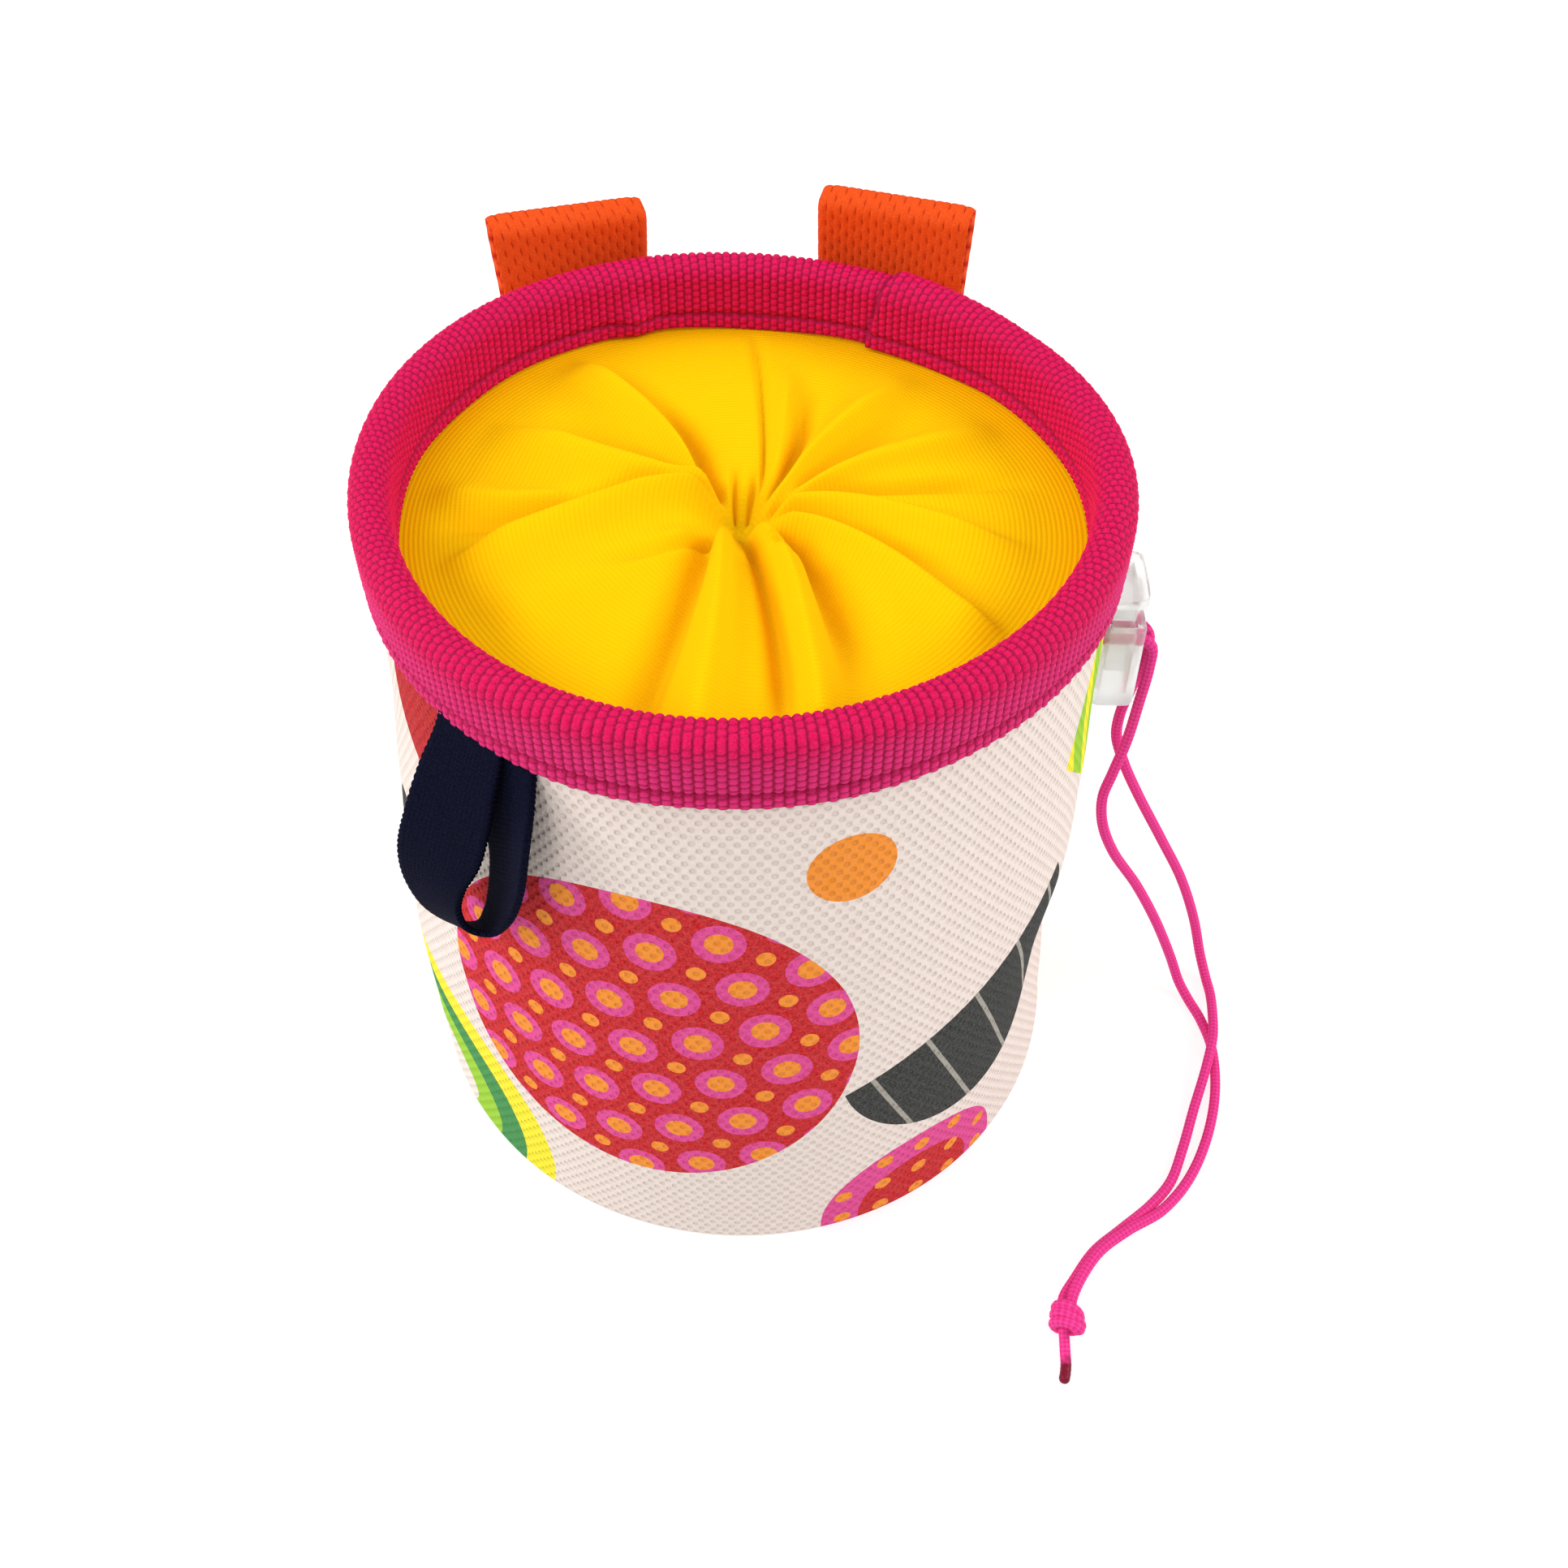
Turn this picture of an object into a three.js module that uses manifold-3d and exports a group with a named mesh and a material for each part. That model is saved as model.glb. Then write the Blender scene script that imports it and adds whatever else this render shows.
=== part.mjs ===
// Chalk bag: a stiff printed canvas tube with a drawn-shut knit collar, standing on its base.
// Millimetres, +Z up. The origin is the centre of the base on the surface that the bag stands on.
// The front faces -Y, the cord lock is at +X and the belt loops are at +Y.
import * as THREE from 'three';
import { mergeVertices } from 'three/addons/utils/BufferGeometryUtils.js';
import Module from 'manifold-3d';

const wasm = await Module();
wasm.setup();

// Driving dimensions of the bag
const BAG_HEIGHT = 131.5;
const RIM_RADIUS = 59;
const GAP = 0.3;
const AROUND_STEPS = 72;
const RIM_WAVES_FROM = 60;
const RIM_WAVES_TO = 112;

// The rim is a little out of round: share of the radius in two and three waves, and where they peak
const RIM_WAVES = [
  { waves: 2, share: 0.010, peak: 135 },
  { waves: 3, share: 0.014, peak: 11 },
];

// Canvas wall: outside radius at each height, from the base to the rim
const WALL_THICKNESS = 1.5;
const WALL_BOTTOM = GAP;
const WALL_TOP = 127.5;
const WALL_FOOT_RADIUS = 5;
const WALL_PROFILE = [
  { height: 5.3, radius: 58.9 },
  { height: 20, radius: 59.3 },
  { height: 38, radius: 59.5 },
  { height: 56, radius: 59.0 },
  { height: 76, radius: 58.2 },
  { height: 98, radius: 57.4 },
  { height: 114, radius: 57.2 },
  { height: WALL_TOP, radius: 57.2 },
];
const WALL_INSIDE_HEIGHTS = [5.3, 38, 76, 98, WALL_TOP];
// Soft dents and swells of the wall, each a round bump of the surface
const WALL_DENTS = [
  { azimuth: -12, height: 38, depth: -4.0, halfAngle: 26, halfHeight: 17 },
  { azimuth: -10, height: 14, depth: -1.2, halfAngle: 30, halfHeight: 10 },
  { azimuth: 188, height: 46, depth: 0.9, halfAngle: 30, halfHeight: 30 },
  { azimuth: 262, height: 70, depth: 0.5, halfAngle: 35, halfHeight: 30 },
];

// Base panel, inside the foot of the wall
const BASE_THICKNESS = 2;

// Rim binding: webbing folded over the rim
const BINDING_THICKNESS = 1.5;
const BINDING_OUTER_LEG = 13.2;
const BINDING_INNER_LEG = 12.1;
const BINDING_WIDTH = 6.2;
const BINDING_SHOULDER = { reach: 0.68, drop: 0.8 };
const BINDING_FOLD_ROOM = 1.2;
const BINDING_JOINT_AZIMUTH = 68;
const BINDING_JOINT_STEP = 0.7;
const BINDING_JOINT_FADE = 26;
const BINDING_JOINT_RISE = 2;

// Knit collar: a puffed disc that sinks to the gather at its centre
const COLLAR_THICKNESS = 1.2;
const COLLAR_AROUND_STEPS = 72;
const COLLAR_EDGE_RADIUS = 53.4;
const COLLAR_EDGE_HEIGHT = 118.8;
const COLLAR_PUFF = 1.6;
const COLLAR_PUFF_POWER = 0.8;
const COLLAR_ROUND_RADIUS = 20;
const COLLAR_EDGE_TUCK = 1.6;
const COLLAR_SINK = 6.5;
const COLLAR_SINK_RADIUS = 7;
const COLLAR_FLANGE_TOP = 125;
const COLLAR_FLANGE_THICKNESS = 0.9;
const COLLAR_UNDER_FROM = 8;
const COLLAR_RINGS = [2, 4.5, 7.5, 11, 16, 22, 29, 36, 43, 49];
const GATHER_NECK_RADIUS = 3.6;
const GATHER_NECK_HEIGHT = 106.5;
const GATHER_NECK_HALF = 1.6;
const GATHER_TUFT_HALF = 4;
const GATHER_TUFT_RADIUS = 5.5;
const GATHER_TUFT_BOTTOM = 99;
// How the folds narrow to the gather and fade at both ends, in shares of their width and in radius
const FOLD_NARROWEST = 0.22;
const FOLD_WIDEST_TURN = 80;
const FOLD_FADE = { before: 3, after: 6, end: 16 };
// Folds: azimuth at the rim and beside the gather, height (creases are negative), half width at the rim
// and the radii between which the fold shows
const COLLAR_FOLDS = [
  { rim: 89, gather: 83, height: -0.6, halfWidth: 1.6, from: 8, to: 54 },
  { rim: 78, gather: 70, height: 1.8, halfWidth: 5, from: 3, to: 50 },
  { rim: 70, gather: 62, height: -1.3, halfWidth: 3.5, from: 5, to: 46 },
  { rim: 61, gather: 60, height: 1.8, halfWidth: 5.5, from: 3, to: 52 },
  { rim: 46, gather: 52, height: -1.4, halfWidth: 5, from: 5, to: 48 },
  { rim: 31, gather: 50, height: 1.7, halfWidth: 6, from: 3, to: 52 },
  { rim: 18, gather: 40, height: -1.3, halfWidth: 5, from: 5, to: 48 },
  { rim: 5, gather: 28, height: 1.6, halfWidth: 6, from: 3, to: 52 },
  { rim: 354, gather: 375, height: -1.3, halfWidth: 5, from: 5, to: 48 },
  { rim: 342, gather: 362, height: 1.7, halfWidth: 6, from: 3, to: 52 },
  { rim: 331, gather: 346, height: -1.4, halfWidth: 5, from: 5, to: 46 },
  { rim: 320, gather: 334, height: 2.0, halfWidth: 7, from: 3, to: 52 },
  { rim: 294, gather: 316, height: -2.4, halfWidth: 4, from: 6, to: 46 },
  { rim: 284, gather: 294, height: 2.6, halfWidth: 5, from: 2, to: 54 },
  { rim: 276, gather: 276, height: -2.0, halfWidth: 3.5, from: 5, to: 50 },
  { rim: 267, gather: 260, height: 2.6, halfWidth: 5.5, from: 3, to: 54 },
  { rim: 256, gather: 250, height: -1.8, halfWidth: 4, from: 5, to: 46 },
  { rim: 236, gather: 236, height: 1.2, halfWidth: 10, from: 8, to: 52 },
  { rim: 207, gather: 222, height: -2.2, halfWidth: 5, from: 6, to: 50 },
  { rim: 196, gather: 172, height: 2.6, halfWidth: 8, from: 4, to: 52 },
  { rim: 174, gather: 152, height: -1.6, halfWidth: 6, from: 6, to: 46 },
  { rim: 151, gather: 139, height: 2.2, halfWidth: 8, from: 4, to: 50 },
  { rim: 129, gather: 124, height: -2.4, halfWidth: 5, from: 6, to: 44 },
  { rim: 108, gather: 104, height: 1.2, halfWidth: 10, from: 5, to: 52 },
];

// Belt loops: webbing folded double and sewn to the back of the wall, standing above the rim. Each is
// turned about its upright middle, more towards its top, so that its outer end stands further back.
const WEBBING_WIDTH = 25;
const BELT_LOOPS = {
  belt_loop_left: { azimuth: 117.8, twist: 13, lift: 0 },
  belt_loop_right: { azimuth: 66.4, twist: -8, lift: 2.9 },
};
const BELT_LOOP_TWIST = { from: 116, to: 140, pivot: 0.45 };
// Sections round the folded webbing, seen from its edge: its outside and its inside, each as a distance
// out from the bag's axis and a height. The first and the last row make the tab that is sewn to the wall.
const BELT_LOOP_SECTIONS = [
  { outside: [58.0, 92], inside: [60.0, 100] },
  { outside: [57.8, 104], inside: [59.6, 105] },
  { outside: [60.0, 116.5], inside: [61.7, 116.8] },
  { outside: [60.3, 127], inside: [61.9, 127] },
  { outside: [60.3, 135.6], inside: [61.9, 135.2] },
  { outside: [60.9, 138.3], inside: [62.1, 136.6] },
  { outside: [62.5, 139.4], inside: [62.6, 137.5] },
  { outside: [64.2, 138.5], inside: [63.1, 136.7] },
  { outside: [64.8, 135.8], inside: [63.2, 135.4] },
  { outside: [64.3, 127], inside: [62.7, 127] },
  { outside: [64.1, 116.8], inside: [62.5, 117] },
  { outside: [62.4, 104.4], inside: [60.7, 105.4] },
  { outside: [61.4, 92], inside: [60.4, 100] },
];

// Brush loop: an elastic band that hangs under the binding at the front left. Each row gives its two
// edges: around the bag from the loop's azimuth, out from the bag's axis, and up.
const BRUSH_LOOP_AZIMUTH = 234;
const BRUSH_LOOP_THICKNESS = 1.1;
const BRUSH_LOOP_STEPS = 30;
const BRUSH_LOOP_SECTIONS = [
  { right: [3.6, 59.7, 117.4], left: [-8.6, 58.9, 117.4] },
  { right: [4.0, 61.5, 112.0], left: [-9.8, 61.4, 110.7] },
  { right: [3.6, 62.8, 106.5], left: [-10.2, 64.6, 105.0] },
  { right: [2.2, 64.7, 99.0], left: [-11.7, 66.5, 97.0] },
  { right: [0.2, 66.5, 94.0], left: [-12.3, 66.2, 88.2] },
  { right: [-0.6, 67.2, 89.6], left: [-10.8, 64.6, 80.6] },
  { right: [0.3, 66.7, 85.8], left: [-7.6, 61.8, 76.2] },
  { right: [3.2, 65.5, 85.6], left: [-5.2, 60.6, 76.8] },
  { right: [7.4, 64.9, 91.0], left: [-2.4, 60.3, 82.6] },
  { right: [9.7, 64.0, 98.0], left: [-0.6, 60.1, 89.7] },
  { right: [10.3, 62.2, 106.5], left: [0.2, 59.6, 98.6] },
  { right: [9.6, 59.4, 113.0], left: [-2.0, 58.8, 108.6] },
  { right: [8.6, 57.6, 117.4], left: [-5.0, 57.9, 117.4] },
];

// Cord lock beside the wall: barrel and sprung plunger, with one slot for both strands
const LOCK_CENTRE = { x: 62.6, y: 6 };
const LOCK_BOTTOM = 81;
const LOCK_BARREL = { thickness: 7.4, width: 14, height: 16.5, corner: 1.6 };
const LOCK_POCKET = { thickness: 4.4, width: 10.8, floor: 83 };
const LOCK_STEM = { thickness: 3.8, width: 10.2, bottom: 87.4 };
const LOCK_CAP = { thickness: 6.8, width: 12.6, bottom: 102.6, height: 2, corner: 1.4 };
const LOCK_TRAVEL = 4;
const LOCK_SLOT = { width: 8.6, height: 3.4, axisHeight: 92.5 };
const LOCK_SLOT_REACH = 6;
const WALL_SLOT_REACH = { inwards: 8, outwards: 2 };

// Drawcord: one cord, from the knot through the lock and the wall round the gather and back
const CORD_DIAMETER = 2;
const CORD_SIDES = 8;
const STRAND_STEPS = 42;
const STRAND_1_ROUTE = [
  [54.8, 3.4, 92.5], [58, 3.4, 92.5], [62.6, 3.4, 92.5], [66.6, 3.4, 92.4], [68.4, 3.2, 90.8],
  [68.6, 2.7, 86.6], [67.9, 1.8, 79.4], [66.9, 0.7, 71], [65.4, 0, 63.2], [64.5, 0, 57], [65.4, 0, 50],
  [68.4, 0.2, 42], [74.4, 0.8, 31.5], [80, 1.2, 20], [84.6, 1.0, 9], [87.2, -0.6, 2.6], [88.8, -3.6, 1.1],
  [90.6, -8.6, 1.05], [91.8, -15.2, 1.05], [91, -25.2, 1.05], [87.9, -35.6, 1.05], [83.2, -45, 1.05],
  [77.4, -51.4, 1.05], [71, -56.8, 1.05], [65.4, -61.4, 1.05], [61.6, -66.6, 1.05], [59.1, -70.2, 1.4],
];
const STRAND_2_ROUTE = [
  [54.8, 8.6, 92.5], [58, 8.6, 92.5], [62.6, 8.2, 92.5], [66.6, 7.2, 92.4], [68.3, 6.5, 90.8],
  [68.4, 6.2, 86.4], [67.3, 6.1, 79], [66.2, 6.2, 72], [66.3, 6, 66.6], [68.2, 5.2, 61], [72, 5.4, 52.4],
  [78.6, 6, 39], [84.6, 6.8, 26.4], [89.4, 7, 13.4], [92, 5, 4.2], [93.1, 1.4, 1.3], [93.3, -2.6, 1.6],
  [92.7, -8.4, 2.8], [91.8, -14.2, 3.3], [89.6, -21, 2.7], [86.2, -29.6, 1.4], [83, -38, 1.05],
  [79.6, -45.4, 1.05], [75.4, -50.2, 1.05], [69.4, -55, 1.05], [63.8, -59.6, 1.05], [59.8, -65, 1.05],
  [57.2, -69, 1.4],
];
const INSIDE_STEPS = 42;
const INSIDE_RING_RADIUS = GATHER_NECK_RADIUS + CORD_DIAMETER / 2 + 0.4;
// Half of the way inside the bag, from the wall to the gather; the way back is as long
const INSIDE_WAY_IN = [[48.5, 2.8, 92.9], [36, 0.5, 97], [20, -3.4, 102.5], [9, -5.4, 105.9]];
const INSIDE_WAY_BACK = [[9, 6.4, 105.9], [20, 8, 102.5], [36, 9, 97], [48.5, 9.2, 92.9]];
const INSIDE_RING_TURN = { from: 300, to: 60, step: 30 };

// Knot: lumps of the wound cord along the strands' way, then the tail with its melted tip
const KNOT_SIDES = 10;
const KNOT_SECTIONS = [
  { along: 0, radius: 1.9, height: 2.1 },
  { along: 0.7, radius: 3.0, height: 3.15 },
  { along: 1.9, radius: 3.25, height: 3.35 },
  { along: 2.7, radius: 2.7, height: 2.85 },
  { along: 3.6, radius: 3.3, height: 3.4 },
  { along: 5.0, radius: 3.1, height: 3.2 },
  { along: 6.1, radius: 2.1, height: 2.2 },
  { along: 6.6, radius: 1.0, height: 1.3 },
  { along: 9.6, radius: 1.0, height: 1.1 },
  { along: 12.6, radius: 0.95, height: 1.05 },
  { along: 13.4, radius: 1.15, height: 1.25 },
  { along: 14.2, radius: 0.8, height: 1.1 },
];
const KNOT_START = [58.0, -70.7];
const KNOT_HEADING = 263;

const MATERIALS = {
  canvas: { color: 0xece6df, roughness: 0.9, metalness: 0 },
  binding: { color: 0xd6145c, roughness: 0.75, metalness: 0 },
  knit: { color: 0xffc800, roughness: 0.9, metalness: 0 },
  webbing: { color: 0xe8521a, roughness: 0.75, metalness: 0 },
  elastic: { color: 0x14162c, roughness: 0.85, metalness: 0 },
  cord: { color: 0xe8307e, roughness: 0.7, metalness: 0 },
  plastic: { color: 0xe6e6e4, roughness: 0.35, metalness: 0 },
};

const radians = THREE.MathUtils.degToRad;
const smooth = THREE.MathUtils.smoothstep;
const bump = (distance) => Math.exp(-distance * distance);

// Shortest signed turn from one azimuth to another, in degrees
function turnBetween(from, to) {
  return ((to - from + 540) % 360 + 360) % 360 - 180;
}

function polar(azimuth, radius, height) {
  const angle = radians(azimuth);
  return new THREE.Vector3(radius * Math.cos(angle), radius * Math.sin(angle), height);
}

// Factor on a radius near the rim, for the rim's slightly uneven outline
function rimFactor(azimuth) {
  let factor = 1;
  for (const { waves, share, peak } of RIM_WAVES) {
    factor += share * Math.cos(radians(waves * (azimuth - peak)));
  }
  return factor;
}

// Value of one column of a table at a height, on a smooth line through its rows
function alongProfile(rows, height) {
  let i = 0;
  while (i < rows.length - 2 && height > rows[i + 1].height) i += 1;
  const low = rows[i];
  const high = rows[i + 1];
  return THREE.MathUtils.lerp(low.radius, high.radius, smooth(height, low.height, high.height));
}

// Closed skin over rings of equal count. Rings wrap round on themselves; the row of rings either wraps
// too, or is closed by a point at each end.
function skin(rings, { wrap = false, ends = null } = {}) {
  const count = rings[0].length;
  const points = rings.flat();
  const triangles = [];
  const spans = wrap ? rings.length : rings.length - 1;
  for (let r = 0; r < spans; r += 1) {
    const here = r * count;
    const next = ((r + 1) % rings.length) * count;
    for (let i = 0; i < count; i += 1) {
      const j = (i + 1) % count;
      triangles.push(here + i, here + j, next + j, here + i, next + j, next + i);
    }
  }
  if (ends) {
    const last = (rings.length - 1) * count;
    const first = points.push(ends[0]) - 1;
    const final = points.push(ends[1]) - 1;
    for (let i = 0; i < count; i += 1) {
      const j = (i + 1) % count;
      triangles.push(first, j, i, final, last + i, last + j);
    }
  }
  return outwards(points, triangles);
}

// Geometry from points and triangles, turned so that its faces point out
function outwards(points, triangles) {
  let volume = 0;
  for (let t = 0; t < triangles.length; t += 3) {
    const [a, b, c] = [points[triangles[t]], points[triangles[t + 1]], points[triangles[t + 2]]];
    volume += a.dot(b.clone().cross(c));
  }
  const index = volume > 0 ? triangles : triangles.toReversed();
  const geometry = new THREE.BufferGeometry().setFromPoints(points);
  geometry.setIndex(index);
  return geometry;
}

function middle(ring) {
  const sum = ring.reduce((total, point) => total.add(point), new THREE.Vector3());
  return sum.divideScalar(ring.length);
}

// Solids for cutting and joining
function toSolid(geometry) {
  const bare = geometry.clone();
  bare.deleteAttribute('normal');
  bare.deleteAttribute('uv');
  const merged = mergeVertices(bare, 1e-4);
  return new wasm.Manifold(new wasm.Mesh({
    numProp: 3,
    vertProperties: new Float32Array(merged.attributes.position.array),
    triVerts: new Uint32Array(merged.index.array),
  }));
}

function toGeometry(solid) {
  const mesh = solid.getMesh();
  const geometry = new THREE.BufferGeometry();
  geometry.setAttribute('position', new THREE.BufferAttribute(mesh.vertProperties, 3));
  geometry.setIndex(new THREE.BufferAttribute(mesh.triVerts, 1));
  return geometry;
}

// Canvas wall
function wallRadius(azimuth, height) {
  let radius = alongProfile(WALL_PROFILE, height);
  for (const dent of WALL_DENTS) {
    const across = turnBetween(dent.azimuth, azimuth) / dent.halfAngle;
    radius += dent.depth * bump(across) * bump((height - dent.height) / dent.halfHeight);
  }
  const nearRim = smooth(height, RIM_WAVES_FROM, RIM_WAVES_TO);
  return radius * THREE.MathUtils.lerp(1, rimFactor(azimuth), nearRim);
}

// Radius where the wall's rounded foot ends and the base panel begins
function wallFootRadius(azimuth) {
  return wallRadius(azimuth, WALL_BOTTOM + WALL_FOOT_RADIUS) - WALL_FOOT_RADIUS;
}

function wallSection(azimuth) {
  const outside = [];
  const inside = [];
  const footHeight = WALL_BOTTOM + WALL_FOOT_RADIUS;
  const footRadius = wallFootRadius(azimuth);
  for (const turn of [0, 30, 60]) {
    const cos = Math.cos(radians(turn));
    const sin = Math.sin(radians(turn));
    const inner = WALL_FOOT_RADIUS - WALL_THICKNESS;
    outside.push(polar(azimuth, footRadius + WALL_FOOT_RADIUS * sin, footHeight - WALL_FOOT_RADIUS * cos));
    inside.push(polar(azimuth, footRadius + inner * sin, footHeight - inner * cos));
  }
  for (const { height } of WALL_PROFILE) {
    outside.push(polar(azimuth, wallRadius(azimuth, height), height));
  }
  for (const height of WALL_INSIDE_HEIGHTS) {
    inside.push(polar(azimuth, wallRadius(azimuth, height) - WALL_THICKNESS, height));
  }
  return [...outside, ...inside.reverse()];
}

// Slot for the cord, along X, between two heights
function cordSlot(fromX, toX, lowest, highest) {
  const slot = new THREE.BoxGeometry(toX - fromX, LOCK_SLOT.width, highest - lowest);
  slot.translate((fromX + toX) / 2, LOCK_CENTRE.y, (lowest + highest) / 2);
  return slot;
}

const slotLow = LOCK_SLOT.axisHeight - LOCK_SLOT.height / 2;
const slotHigh = LOCK_SLOT.axisHeight + LOCK_SLOT.height / 2;

function bodyWall() {
  const sections = [];
  for (let i = 0; i < AROUND_STEPS; i += 1) sections.push(wallSection((i * 360) / AROUND_STEPS));
  const tube = toSolid(skin(sections, { wrap: true }));
  const { inwards, outwards: beyond } = WALL_SLOT_REACH;
  const hole = toSolid(cordSlot(RIM_RADIUS - inwards, RIM_RADIUS + beyond, slotLow, slotHigh));
  return toGeometry(tube.subtract(hole));
}

function basePanel() {
  const rings = [0, BASE_THICKNESS].map((height) => {
    const ring = [];
    for (let i = 0; i < AROUND_STEPS; i += 1) {
      const azimuth = (i * 360) / AROUND_STEPS;
      ring.push(polar(azimuth, wallFootRadius(azimuth) - GAP, height));
    }
    return ring;
  });
  return skin(rings, { ends: [new THREE.Vector3(0, 0, 0), new THREE.Vector3(0, 0, BASE_THICKNESS)] });
}

// Extra thickness of the binding where its free end lies over its start
function jointLift(azimuth) {
  const past = turnBetween(azimuth, BINDING_JOINT_AZIMUTH);
  if (past < -BINDING_JOINT_RISE || past > BINDING_JOINT_FADE) return 0;
  if (past < 0) return BINDING_JOINT_STEP * (1 + past / BINDING_JOINT_RISE);
  return BINDING_JOINT_STEP * (1 - past / BINDING_JOINT_FADE);
}

function bindingSection(azimuth) {
  const lift = jointLift(azimuth);
  const outer = RIM_RADIUS + lift;
  const inner = RIM_RADIUS - BINDING_WIDTH - lift;
  const slotOuter = RIM_RADIUS - BINDING_THICKNESS;
  const slotInner = RIM_RADIUS - BINDING_WIDTH + BINDING_THICKNESS;
  const top = BAG_HEIGHT;
  const round = BINDING_WIDTH / 2;
  const crown = (outer + inner) / 2;
  const slotTop = top - BINDING_THICKNESS - BINDING_FOLD_ROOM;
  const crownTop = top + lift / 2;
  const { reach, drop } = BINDING_SHOULDER;
  const profile = [
    [outer, top - BINDING_OUTER_LEG],
    [outer, top - round],
    [crown + round * reach, crownTop - drop],
    [crown, crownTop],
    [crown - round * reach, crownTop - drop],
    [inner, top - round],
    [inner, top - BINDING_INNER_LEG],
    [slotInner, top - BINDING_INNER_LEG],
    [slotInner, slotTop],
    [slotOuter, slotTop],
    [slotOuter, top - BINDING_OUTER_LEG],
  ];
  return profile.map(([radius, height]) => polar(azimuth, radius * rimFactor(azimuth), height));
}

function rimBinding() {
  const sections = [];
  for (let i = 0; i < AROUND_STEPS; i += 1) sections.push(bindingSection((i * 360) / AROUND_STEPS));
  return skin(sections, { wrap: true });
}

// Knit collar
function foldHeight(azimuth, radius) {
  let height = 0;
  for (const fold of COLLAR_FOLDS) {
    const inwards = 1 - radius / COLLAR_EDGE_RADIUS;
    const line = fold.rim + turnBetween(fold.rim, fold.gather) * inwards;
    const turn = turnBetween(line, azimuth);
    if (Math.abs(turn) > FOLD_WIDEST_TURN) continue;
    const across = radius * Math.sin(radians(turn));
    const halfWidth = fold.halfWidth * THREE.MathUtils.lerp(1, FOLD_NARROWEST, inwards);
    const begins = smooth(radius, fold.from - FOLD_FADE.before, fold.from + FOLD_FADE.after);
    const ends = smooth(radius, fold.to - FOLD_FADE.end, fold.to);
    height += fold.height * begins * (1 - ends) * bump(across / halfWidth);
  }
  return height;
}

function collarHeight(azimuth, radius) {
  const share = radius / COLLAR_EDGE_RADIUS;
  const puff = COLLAR_PUFF * Math.sin(Math.PI * share ** COLLAR_PUFF_POWER);
  const sink = COLLAR_SINK * bump(radius / COLLAR_SINK_RADIUS);
  return COLLAR_EDGE_HEIGHT + puff - sink + foldHeight(azimuth, radius);
}

function collarRing(radius, heightAt) {
  const ring = [];
  for (let i = 0; i < COLLAR_AROUND_STEPS; i += 1) {
    const azimuth = (i * 360) / COLLAR_AROUND_STEPS;
    const nearRim = smooth(radius, COLLAR_ROUND_RADIUS, COLLAR_EDGE_RADIUS);
    const factor = THREE.MathUtils.lerp(1, rimFactor(azimuth), nearRim);
    ring.push(polar(azimuth, radius * factor, heightAt(azimuth)));
  }
  return ring;
}

function collar() {
  const level = (height) => () => height;
  const flangeInner = RIM_RADIUS - BINDING_WIDTH + BINDING_THICKNESS + GAP;
  const flangeOuter = flangeInner + COLLAR_FLANGE_THICKNESS;
  const edge = BAG_HEIGHT - BINDING_INNER_LEG - GAP;
  const top = COLLAR_RINGS.map((radius) => collarRing(radius, (azimuth) => collarHeight(azimuth, radius)));
  const under = COLLAR_RINGS.filter((radius) => radius > COLLAR_UNDER_FROM).map((radius) => (
    collarRing(radius, (azimuth) => collarHeight(azimuth, radius) - COLLAR_THICKNESS)
  ));
  const rings = [
    ...top,
    collarRing(COLLAR_EDGE_RADIUS - COLLAR_EDGE_TUCK, level(edge - GAP / 3)),
    collarRing(flangeInner, level(edge)),
    collarRing(flangeInner, level(COLLAR_FLANGE_TOP)),
    collarRing(flangeOuter, level(COLLAR_FLANGE_TOP)),
    collarRing(flangeOuter, level(edge - COLLAR_THICKNESS)),
    ...under.reverse(),
    collarRing(GATHER_TUFT_RADIUS, level(GATHER_NECK_HEIGHT + GATHER_TUFT_HALF)),
    collarRing(GATHER_NECK_RADIUS, level(GATHER_NECK_HEIGHT + GATHER_NECK_HALF)),
    collarRing(GATHER_NECK_RADIUS, level(GATHER_NECK_HEIGHT - GATHER_NECK_HALF)),
    collarRing(GATHER_TUFT_RADIUS, level(GATHER_NECK_HEIGHT - GATHER_TUFT_HALF)),
    collarRing(GATHER_TUFT_RADIUS, level(GATHER_TUFT_BOTTOM)),
  ];
  const ends = [
    new THREE.Vector3(0, 0, collarHeight(0, 0)),
    new THREE.Vector3(0, 0, GATHER_TUFT_BOTTOM),
  ];
  return skin(rings, { ends });
}

// Belt loops: the webbing's sections, joined round the loop
function closedLine(points) {
  const upright = points.map(([out, height]) => new THREE.Vector3(out, 0, height));
  const curve = new THREE.CatmullRomCurve3(upright, true);
  return curve.getPoints(points.length * 2).slice(0, -1);
}

function beltLoop({ azimuth, twist, lift }) {
  const half = WEBBING_WIDTH / 2;
  const edgePoint = (point, side) => {
    const turned = smooth(point.z, BELT_LOOP_TWIST.from, BELT_LOOP_TWIST.to);
    const slope = Math.sin(radians(twist)) * turned;
    const out = point.x + half * (side * slope + BELT_LOOP_TWIST.pivot * Math.abs(slope));
    return new THREE.Vector3(out, side * half, point.z);
  };
  const outside = closedLine(BELT_LOOP_SECTIONS.map((row) => row.outside));
  const inside = closedLine(BELT_LOOP_SECTIONS.map((row) => row.inside));
  const rings = outside.map((outer, i) => [
    edgePoint(outer, 1),
    edgePoint(outer, -1),
    edgePoint(inside[i], -1),
    edgePoint(inside[i], 1),
  ]);
  const loop = skin(rings, { wrap: true });
  loop.translate(RIM_RADIUS * (rimFactor(azimuth) - 1) + GAP, 0, lift);
  loop.rotateZ(radians(azimuth));
  return loop;
}

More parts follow.
